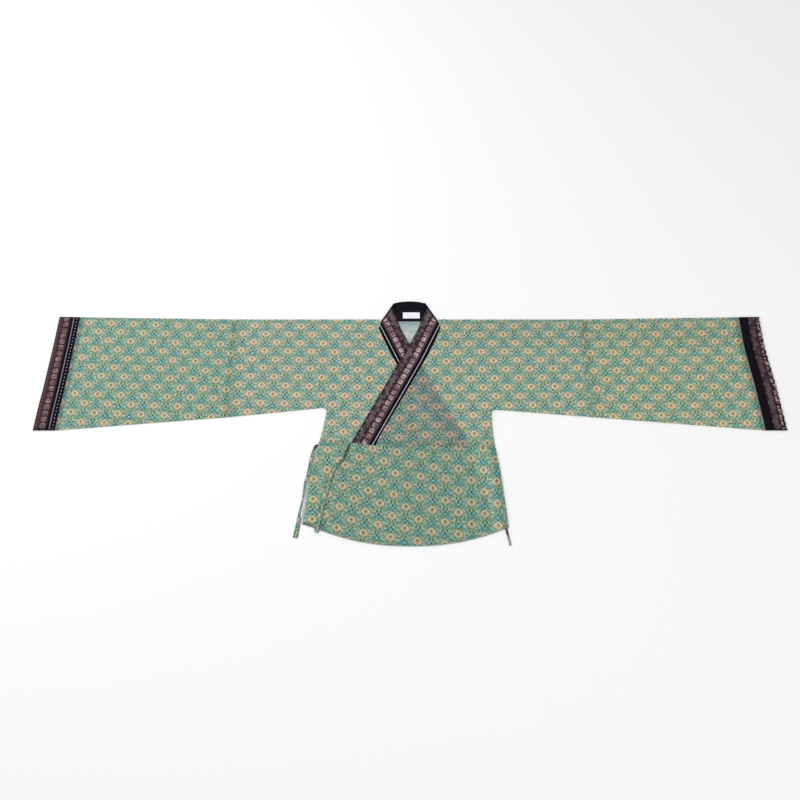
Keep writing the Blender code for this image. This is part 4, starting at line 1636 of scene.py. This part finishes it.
def along_waist(side, foot, x):
    """A half's waist edge, from the foot of its underarm fold to a centre edge at x."""
    line = dense([foot, (x, waist_y(side * x))])
    return [foot] + [(at, float(waist_y(side * at))) for at, _ in line[1:]]


def half_edges(side, tucked):
    """Outlines of a half's front and back, and how many points its shoulder and join have.

    Each starts along the shoulder fold, and ends up the underarm fold and the sleeve join.
    """
    tuck = CLOTH_WALL + LAP / 2
    under = [tuple(point) for point in tucked]
    shoulder = dense([(under[0][0], -tuck), (NECK_SIDE_X, -tuck)])
    join = dense([under[0], (under[0][0], -tuck)])
    shared = under[::-1] + join[1:-1]

    centre_x = FRONT_SEAM_X + SEAM
    seam = band_lines(+1)[:, :2][::-1]
    seam = seam + across(seam) * SEAM
    neck = [tuple(point) for point in seam if point[1] < FRONT_NECK_Y and point[0] > centre_x]
    waist = along_waist(side, under[-1], centre_x)
    centre = dense([waist[-1], (centre_x, neck[-1][1] - SEAM)])
    front = shoulder[:-1] + thin_out(dense([shoulder[-1]] + neck))
    front += centre[::-1][1:-1] + waist[::-1][:-1] + shared

    back_top = BACK_SEAM_Y - SEAM
    neck = dense([(NECK_SIDE_X, -tuck), (BACK_NECK_X, back_top), (SEAM / 2, back_top)])
    waist = along_waist(side, under[-1], SEAM / 2)
    centre = dense([waist[-1], neck[-1]])
    back = shoulder[:-1] + neck[:-1] + centre[::-1][:-1] + waist[::-1][:-1] + shared
    return front, back, len(shoulder), len(join)


def lay_half(side):
    """Front, back and inner sleeve of one side, in one cloth over the shoulder."""
    name = "half_" + WORDS[side]
    tucked, out = underarm_fold(side)
    front_edge, back_edge, top, join = half_edges(side, tucked)

    def laid(points):
        return [(side * x, y) for x, y in points]

    cloth = Cloth()
    front = cloth.panel(laid(front_edge), lambda x, y: front_z(side, x, y) + rise(x, y), False)
    back = cloth.panel(laid(back_edge), lambda x, y: np.full(len(x), CLOTH_WALL), True)
    cloth.turn(front[:top], back[:top], [(0.0, 1.0)] * top)
    tail = join - 2
    front_low, back_low = (
        edge[len(edge) - tail - len(tucked):len(edge) - tail][::-1] for edge in (front, back)
    )
    cloth.turn(front_low, back_low, laid(out))
    piece = dress_cotton(cloth, name)
    area = shoelace(front_edge) + shoelace(back_edge)


def thin_out(points):
    """Leaves out points that lie closer together than a third of a step."""
    kept = [points[0]]
    for point in points[1:-1]:
        if math.dist(point, kept[-1]) > CLOTH_STEP / 3:
            kept.append(point)
    kept.append(points[-1])
    return kept


def shoelace(outline):
    """Area inside an outline."""
    ring = np.array(outline)
    following = np.roll(ring, -1, axis=0)
    return abs(float(np.sum(ring[:, 0] * following[:, 1] - ring[:, 1] * following[:, 0]))) / 2


class HANFU_OT_halves(bpy.types.Operator):
    """Lays the right half and then the left half, whose front is on top"""

    bl_idname = "hanfu.halves"
    bl_label = "Lay the two halves"

    def execute(self, context):
        for side in (-1, +1):
            lay_half(side)
        return {"FINISHED"}


def lay_tube(side, ends, wall, steps, bow_start, relief=0.0, wave=0.0):
    """A flattened length of sleeve between two end lines, each given by its top and low x.

    Bow start is the share along it where the cuff's bow begins to show, and relief is how
    high its rows stand. Returns the cloth, its flat width and length, and its area.
    """
    tuck = wall + LAP / 2
    (inner_top, inner_low), (outer_top, outer_low) = ends
    shares = np.linspace(0.0, 1.0, steps[0] + 1)
    x_top, x_low = lerp(inner_top, outer_top, shares), lerp(inner_low, outer_low, shares)
    y_top, y_low = shoulder_y(x_top) - tuck, underarm_y(x_low) + tuck

    def row(v, upper):
        x, y = lerp(x_top, x_low, v), lerp(y_top, y_low, v)
        x = x - drawn_in(wave, v) * smooth(*WAVE_REACH, shares)
        x = x - cuff_bow(side, v) * smooth(bow_start - BOW_REACH, bow_start, shares)
        z = np.full(len(x), wall)
        if upper:
            z = z + LAP + rise(side * x, y) + relief * smooth(0.0, RELIEF_REACH, min(v, 1.0 - v))
        return list(zip(side * x, y, z))

    cloth = Cloth()
    downs = np.linspace(0.0, 1.0, steps[1] + 1)
    front = cloth.sheet([row(v, True) for v in downs], False)
    back = cloth.sheet([row(v, False) for v in downs], True)
    cloth.turn(front[0], back[0], [(0.0, 1.0)] * len(shares))
    cloth.turn(front[-1], back[-1], [(0.0, -1.0)] * len(shares))
    wide = abs(outer_low - inner_top)
    high = 2 * float(y_top.max() - y_low.min())
    area = (abs(outer_top - inner_top) + abs(outer_low - inner_low)) / 2 * high
    return cloth, (wide, high), min(area, wide * high)


class HANFU_OT_sleeves(bpy.types.Operator):
    """Lays the outer sleeve lengths, from the join at mid sleeve to the cuffs"""

    bl_idname = "hanfu.sleeves"
    bl_label = "Lay the outer sleeves"

    def execute(self, context):
        ends = ((JOIN_X + SEAM, JOIN_X + SEAM), (CUFF_TOP_X, CUFF_LOW_X))
        for side, word in WORDS.items():
            cloth, flat, area = lay_tube(side, ends, CLOTH_WALL, SLEEVE_STEPS, 1.0)
            piece = dress_cotton(cloth, "sleeve_end_" + word)
        return {"FINISHED"}


def trim_relief(rows):
    """Raised rows of a ribbon, by the distance across it."""
    def height(distance):
        raised = np.zeros(len(distance))
        for start, end, kind in stripes(rows):
            crown = np.sin(np.pi * np.clip((distance - start) / (end - start), 0.0, 1.0))
            if kind in CORD_ROWS:
                raised += CORD_RELIEF * crown
            if kind == "roundel":
                raised += ROUNDEL_RELIEF * np.minimum(1.0, 3.0 * crown)
        return raised
    return height


def cuff_maps(side, wave):
    """Where a cuff's points fall on its ribbon, the painted shade along its folds, and how dark its open
    end is.
    """
    def place(points, behind):
        x, y = side * points[:, 0], points[:, 1]
        share = down_sleeve(x, y)
        out = x - cuff_seam_x(side, share)
        straight = out + drawn_in(wave, share) * smooth(*WAVE_REACH, out / BAND_WIDTH)
        along = share * CUFF_WAVES * ROUNDEL_PITCH / MILLIMETRES if wave else y
        return pairs(-along if behind else along, straight)

    def tint(x, y):
        share = down_sleeve(x, y)
        edge = lerp(SPAN_TOP_X, SPAN_LOW_X, share) - drawn_in(wave, share) - cuff_bow(side, share)
        room = np.minimum(shoulder_y(x) - y, y - underarm_y(x))
        end = CUFF_END_DARK[side] * near("cuff end", edge - side * x)
        # Painted shade along the folds at the top and foot of the cuff, and a darker open end
        return tinted(np.maximum(near("cuff fold", room), end), "black")

    return place, tint


class HANFU_OT_cuffs(bpy.types.Operator):
    """Lays the woven cuffs round both sleeve openings"""

    bl_idname = "hanfu.cuffs"
    bl_label = "Lay the cuffs"

    def execute(self, context):
        ends = ((CUFF_TOP_X + SEAM, CUFF_LOW_X + SEAM), (SPAN_TOP_X, SPAN_LOW_X))
        for side, word in WORDS.items():
            trim = word + " cuff trim"
            wave = CUFF_WAVE if word == "left" else 0.0
            across_cuff = np.linspace(0.0, BAND_WIDTH - 0.001, CUFF_STEPS[0] + 1)
            relief = trim_relief(TRIM_ROWS[trim])(across_cuff)
            cloth, flat, area = lay_tube(side, ends, TRIM_WALL, CUFF_STEPS, 0.0, relief, wave)
            name = "cuff_" + word
            piece = cloth.finish(name, TRIM_WALL, (trim, "collar facing"), *cuff_maps(side, wave))
            dress(piece, name, "woven_trim")
        return {"FINISHED"}


class HANFU_OT_overlaps(bpy.types.Operator):
    """Lays the wedges between the centre front seams and the collar"""

    bl_idname = "hanfu.overlaps"
    bl_label = "Lay the overlap wedges"

    def execute(self, context):
        for side, name, z in ((+1, "overlap_over", Z_OVER), (-1, "overlap_under", Z_UNDER)):
            seam = band_lines(+1)[:, :2]
            seam = seam - across(seam) * SEAM * 2
            edge = [tuple(point) for point in seam if point[0] < FRONT_SEAM_X - SEAM]
            corner = (FRONT_SEAM_X, float(waist_y(side * FRONT_SEAM_X)))
            foot = (edge[0][0], float(waist_y(side * edge[0][0])))
            outline = thin_out(dense([foot, corner]))
            outline += dense([corner, (FRONT_SEAM_X, edge[-1][1] - SEAM * 2)])[1:]
            outline += thin_out(dense(edge[1:][::-1]))
            cloth = Cloth()
            cloth.panel([(side * x, y) for x, y in outline], lambda x, y, z=z: z + rise(x, y), False)
            piece = dress_cotton(cloth, name)
            wide, high = corner[0] - foot[0], edge[-1][1] - foot[1]
            area = min(max(shoelace(outline), LEAST_SHARE * wide * high), wide * high)
        return {"FINISHED"}


# Lower panels: their two side edges, and how far their hem is lifted
PANELS = {
    "skirt_back": ("back right side", "left side", 0.0),
    "skirt_under": ("right side", "under front", FRONT_HEM_LIFT),
    "skirt_over": ("over front", "left side", FRONT_HEM_LIFT),
}


def panel_row(name, u, v):
    """Points of a lower panel's lower face, at shares u across and v down."""
    left, right, lift = PANELS[name]
    corners = list(zip(SKIRT_ROWS, SKIRT_EDGE[left], SKIRT_EDGE[right]))
    edges = curve_through(corners, SKIRT_EDGE_STEPS)
    x = lerp(np.interp(v, edges[:, 0], edges[:, 1]), np.interp(v, edges[:, 0], edges[:, 2]), u)
    y_top = waist_y(lerp(edges[0][1], edges[0][2], u)) - SEAM
    y_low = hem_y(lerp(edges[-1][1], edges[-1][2], u)) + lift
    y = lerp(y_top, y_low, v)
    if name == "skirt_back":
        return x, y, np.zeros(len(x))
    z = np.full(len(x), Z_UNDER)
    if name == "skirt_over":
        top = front_z(+1, x, np.full(len(x), WAIST_Y))
        z = lerp(top, Z_OVER_HEM, smooth(0.0, SKIRT_SETTLES, v))
    return x, y, z + rise(x, y)


class HANFU_OT_lower_panels(bpy.types.Operator):
    """Lays the flared panels below the waist seam: back, under front and over front"""

    bl_idname = "hanfu.lower_panels"
    bl_label = "Lay the lower panels"

    def execute(self, context):
        steps_across, steps_down = PANEL_STEPS
        u = np.linspace(0.0, 1.0, steps_across + 1)
        gaps = len(SKIRT_ROWS) - 1
        shares = np.interp(np.linspace(0.0, gaps, steps_down + 1), range(gaps + 1), SKIRT_ROWS)
        for name in PANELS:
            rows = [list(zip(*panel_row(name, u, v))) for v in shares]
            cloth = Cloth()
            cloth.sheet(rows, False)
            piece = dress_cotton(cloth, name, face_down=name == "skirt_back")
            outline = rows[0] + [row[-1] for row in rows] + rows[-1][::-1] + [row[0] for row in rows][::-1]
            shoelace(outline)
        return {"FINISHED"}


def stripe_place(points, side):
    """Map of the collar's front ends: along the band, and across from its neck edge."""
    guide = [(side * x, y) for x, y in STRIPE_GUIDE]
    distance, along, hand = nearest(points[:, :2], guide)
    return pairs(along, distance * np.where(side * hand < 0, 1.0, -1.0))


def neck_place(points):
    """Map of the collar at the back of the neck."""
    share = (points[:, 1] - BACK_SEAM_Y) / (NECK_TOP_Y - BACK_SEAM_Y)
    return pairs(points[:, 0], BAND_WIDTH * (1.0 - share))


def end_rows(side, u):
    """Sections of a front end of the collar, with its raised rows."""
    relief = trim_relief(COLLAR_ROWS)
    rows = []
    for number, section in enumerate(band_lines(side)):
        x, y = lerp(section[0], section[2], u), lerp(section[1], section[3], u)
        if side > 0:
            y = y - COLLAR_END_DIP * (1.0 - u) * max(0.0, 1.0 - number / COLLAR_DIP_SECTIONS)
        raised = relief(stripe_place(pairs(x, y), side)[:, 1])
        rows.append(list(zip(x, y, section[COLLAR_FACE[side]] + rise(x, y) + raised)))
    return rows


def neck_rows(u):
    """Sections of the collar at the back of the neck, from fold to fold."""
    level = np.full(len(u), TRIM_WALL)
    return [
        list(zip(lerp(seam_x, top_x, u), lerp(BACK_SEAM_Y, top_y, u), level))
        for seam_x, top_x, top_y in curve_through(COLLAR_BACK, NECK_STEPS)
    ]


def neck_fold_shade(x, y):
    """Painted shade darkens the collar where it folds at both sides of the neck."""
    fold = COLLAR_STATIONS[-1]
    dark = np.zeros(len(x))
    for side in (-1, +1):
        line = [(side * fold[0], fold[1]), (side * fold[2], fold[3])]
        distance, _, _ = nearest(pairs(x, y), line)
        dark = np.maximum(dark, near("neck fold", distance))
    return tinted(dark, "black")


class HANFU_OT_collar(bpy.types.Operator):
    """Lays the band: over end, neck fold, back of the neck, fold and under end"""

    bl_idname = "hanfu.collar"
    bl_label = "Lay the collar"

    def execute(self, context):
        cloth = Cloth()
        u = np.linspace(0.0, 1.0, COLLAR_STEPS + 1)
        laid = []
        edges = {}
        for side in (+1, -1):
            edges[side] = cloth.sheet(end_rows(side, u), False)[-1]
            laid.append((len(cloth.points), side))
        back = cloth.sheet(neck_rows(u), True)
        laid.append((len(cloth.points), 0))
        for side, edge in ((+1, back[0]), (-1, back[-1])):
            first, last = cloth.points[edges[side][0]], cloth.points[edges[side][-1]]
            along = Vector((last[0] - first[0], last[1] - first[1])).normalized()
            cloth.turn(edges[side], edge, [(abs(along.y) * side, abs(along.x))] * len(edge))
            laid.append((len(cloth.points), side))

        def place(points, behind):
            made = []
            start = 0
            for end, side in laid:
                part = points[start:end]
                made.append(stripe_place(part, side) if side else neck_place(part))
                start = end
            return np.vstack(made)

        piece = cloth.finish(
            "collar", TRIM_WALL, ("collar trim", "collar facing"), place, neck_fold_shade
        )
        dress(piece, "collar", "woven_trim")
        length = 2 * sum(math.dist(a, b) for a, b in zip(STRIPE_GUIDE, STRIPE_GUIDE[1:])) + GUIDE_GAP
        return {"FINISHED"}


def tie_maps(name, rows):
    """Where a tie's points fall on the print, the painted shade on its edges and gathers, its length."""
    line = rows[:, :2]
    lengths = np.concatenate([[0.0], np.cumsum(np.linalg.norm(np.diff(line, axis=0), axis=1))])

    def place(points, behind):
        distance, along, hand = nearest(points[:, :2], line)
        return pairs(distance * hand + TIE_CUT_AT[0], along + TIE_CUT_AT[1])

    def tint(x, y):
        distance, along, hand = nearest(pairs(x, y), line)
        share = distance / (np.interp(along, lengths, rows[:, 2]) / 2)
        # Painted shade along both edges, less on one side, and over the collar tie's gathered root
        dark = coming("tie edge shade", share) * np.where(hand < 0, TIE_PALE_SIDE, 1.0)
        if name == "tie_collar":
            dark = np.maximum(dark, 1.0 - smooth(*TIE_GATHER, along))
            dark = dark * np.interp(along, *zip(*TIE_EDGE_SHADE))
        return tinted(dark, "tie edge shade") * np.array(TINTS["tie"]) * tint_of(name, x, y)

    return place, tint, float(lengths[-1])


class HANFU_OT_ties(bpy.types.Operator):
    """Lays the three cloth ties"""

    bl_idname = "hanfu.ties"
    bl_label = "Lay the ties"

    def execute(self, context):
        u = np.linspace(-0.5, 0.5, TIE_POINTS)
        dome = TIE_DOME * (1.0 - (2 * u) ** 2)
        for name, table in TIES.items():
            rows = curve_through(table, TIE_STEPS)
            lines = []
            for (x, y, width, z), (out_x, out_y) in zip(rows, across(rows[:, :2])):
                at_x, at_y = x + out_x * width * u, y + out_y * width * u
                lifted = rise(at_x, at_y) if z > TIE_ON_TOP_Z else 0.0
                lines.append(list(zip(at_x, at_y, z + dome + lifted)))
            cloth = Cloth()
            cloth.sheet(lines, False)
            place, tint, length = tie_maps(name, rows)
            piece = cloth.finish(name, TIE_WALL, ("printed cotton",), place, tint)
            dress(piece, name, "printed_cloth")
            width = float(np.mean(rows[:, 2]))
        return {"FINISHED"}


class HANFU_OT_labels(bpy.types.Operator):
    """Sews the dark strip and the blank label inside the back of the neck"""

    bl_idname = "hanfu.labels"
    bl_label = "Sew in the labels"

    def execute(self, context):
        points_along, points_down = LABEL_POINTS
        u = np.linspace(-1.0, 1.0, points_along)
        for name, (finish, slot, low_half, top_half, y_low, y_top, shift, z) in LABELS.items():
            rows = []
            for v in np.linspace(0.0, 1.0, points_down):
                reach, y = lerp(top_half, low_half, v), lerp(y_top, y_low, v)
                rows.append([(shift + reach * k, y, z) for k in u])
            cloth = Cloth()
            cloth.sheet(rows, False)
            piece = cloth.finish(name, CLOTH_WALL, (finish,), lambda points, behind: points[:, :2])
            dress(piece, name, slot)
        return {"FINISHED"}


def add_stitch(made, first, last):
    """One stitch between two points: a ring round its middle, and a tip at each end."""
    up = Vector((0.0, 0.0, 1.0))
    aside = (last - first).cross(up).normalized()
    ring = []
    for step in range(STITCH_SIDES):
        angle = math.tau * step / STITCH_SIDES
        reach = aside * math.cos(angle) + up * math.sin(angle)
        ring.append(made.verts.new((first + last) / 2 + THREAD * reach))
    tips = [made.verts.new(end - THREAD * up) for end in (first, last)]
    for k in range(STITCH_SIDES):
        following = ring[(k + 1) % STITCH_SIDES]
        made.faces.new((ring[k], following, tips[0]))
        made.faces.new((following, ring[k], tips[1]))


def sew(name, lines, material):
    """Rows of short stitches, half sunk in the cloth, along lines of points on its surface."""
    made = bmesh.new()
    for line in lines:
        points = [Vector(point) + Vector((0.0, SHOULDER_AT, 0.0)) for point in line]
        lengths = [0.0]
        for a, b in zip(points, points[1:]):
            lengths.append(lengths[-1] + (b - a).length)
        columns = list(zip(*points))
        at = STITCH_GAP
        while at + STITCH_LENGTH < lengths[-1]:
            add_stitch(made, *(
                Vector([np.interp(along, lengths, column) for column in columns])
                for along in (at, at + STITCH_LENGTH)
            ))
            at += STITCH_LENGTH + STITCH_GAP
    bmesh.ops.recalc_face_normals(made, faces=made.faces)
    mesh = bpy.data.meshes.new(name)
    made.to_mesh(mesh)
    made.free()
    mesh.uv_layers.new(name="Grain")
    mesh.materials.append(bpy.data.materials[material])
    mesh.shade_smooth()
    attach(bring_in(name, mesh), "root")


class HANFU_OT_stitching(bpy.types.Operator):
    """Sews the rows of stitches that show along the hem, the cuffs and the collar"""

    bl_idname = "hanfu.stitching"
    bl_label = "Sew the stitching"

    def execute(self, context):
        hems = []
        u = np.linspace(*STITCH_ROW)
        for name in ("skirt_over", "skirt_under"):
            x, y, z = panel_row(name, u, HEM_STITCH_SHARE)
            hems.append(list(zip(x, y, z + CLOTH_WALL)))
        sew("stitches_hem", hems, "sewing thread")

        trims = []
        v = np.linspace(*STITCH_ROW)
        for side in (-1, +1):
            x = cuff_seam_x(side, v) + SEAM + TRIM_STITCH_INSET
            y = lerp(shoulder_y(x) - TRIM_WALL, underarm_y(x) + TRIM_WALL, v)
            z = 2 * TRIM_WALL + LAP + rise(side * x, y)
            trims.append(list(zip(side * x, y, z)))
            rows = band_lines(side)[:-NECK_FOLD_SECTIONS]
            share = TRIM_STITCH_INSET / BAND_WIDTH
            x, y = lerp(rows[:, 0], rows[:, 2], share), lerp(rows[:, 1], rows[:, 3], share)
            z = rows[:, COLLAR_FACE[side]] + TRIM_WALL + rise(x, y)
            trims.append(list(zip(x, y, z)))
        sew("stitches_trim", trims, "trim thread")
        return {"FINISHED"}


class HANFU_OT_studio(bpy.types.Operator):
    """Sets the pale floor, the soft lights and the camera"""

    bl_idname = "hanfu.studio"
    bl_label = "Set the studio"

    def execute(self, context):
        scene = context.scene
        mesh = bpy.data.meshes.new("floor")
        corners = [(x * FLOOR_REACH, y * FLOOR_REACH, -FLOOR_DROP) for x, y in FLOOR_CORNERS]
        mesh.from_pydata(corners, [], [(0, 1, 2, 3)])
        floor = bring_in("floor", mesh)
        material, _, shader = new_material("studio floor", 0.9)
        shader.inputs["Base Color"].default_value = palette()["floor"]
        mesh.materials.append(material)

        scene.world = bpy.data.worlds.new("studio")
        scene.world.use_nodes = True
        sky = scene.world.node_tree.nodes["Background"]
        sky.inputs["Color"].default_value = (1.0, 1.0, 1.0, 1.0)
        sky.inputs["Strength"].default_value = SKY_STRENGTH
        for name, (place, size, power) in LIGHTS.items():
            lamp = bpy.data.lights.new(name, "AREA")
            lamp.energy = power
            lamp.size = size
            light = bring_in(name, lamp)
            light.location = place
            light.rotation_euler = Vector(place).to_track_quat("Z", "Y").to_euler()

        lens = bpy.data.cameras.new("camera")
        lens.lens = VIEW_LENS
        lens.sensor_width = VIEW_SENSOR
        camera = bring_in("camera", lens)
        distance = scene.top_sizes.view_distance
        camera.location = (
            VIEW_POINT[0],
            VIEW_POINT[1] - distance * math.sin(VIEW_TILT),
            distance * math.cos(VIEW_TILT),
        )
        camera.rotation_euler = (VIEW_TILT, 0.0, 0.0)
        scene.camera = camera
        scene.view_settings.view_transform = "Standard"
        return {"FINISHED"}


class HANFU_PT_pieces(bpy.types.Panel):
    """Lists the garment's sizes, colours and pieces"""

    bl_idname = "HANFU_PT_pieces"
    bl_label = "Hanfu top"
    bl_space_type = "VIEW_3D"
    bl_region_type = "UI"
    bl_category = "Hanfu top"

    def draw(self, context):
        for settings in (context.scene.top_sizes, context.scene.top_colours):
            for name in settings.__annotations__:
                self.layout.prop(settings, name)
        for operator in PIECES:
            self.layout.operator(operator.bl_idname)


PIECES = (
    HANFU_OT_cloths,
    HANFU_OT_studio,
    HANFU_OT_halves,
    HANFU_OT_sleeves,
    HANFU_OT_cuffs,
    HANFU_OT_overlaps,
    HANFU_OT_lower_panels,
    HANFU_OT_collar,
    HANFU_OT_ties,
    HANFU_OT_labels,
    HANFU_OT_stitching,
)
CLASSES = (TopColours, TopSizes, *PIECES, HANFU_PT_pieces)


def register():
    for kind in CLASSES:
        bpy.utils.register_class(kind)
    bpy.types.Scene.top_sizes = bpy.props.PointerProperty(type=TopSizes)
    bpy.types.Scene.top_colours = bpy.props.PointerProperty(type=TopColours)


def unregister():
    del bpy.types.Scene.top_colours
    del bpy.types.Scene.top_sizes
    for kind in reversed(CLASSES):
        bpy.utils.unregister_class(kind)


def main():
    register()
    for operator in PIECES:
        group, name = operator.bl_idname.split(".")
        getattr(getattr(bpy.ops, group), name)()


if __name__ == "__main__":
    main()
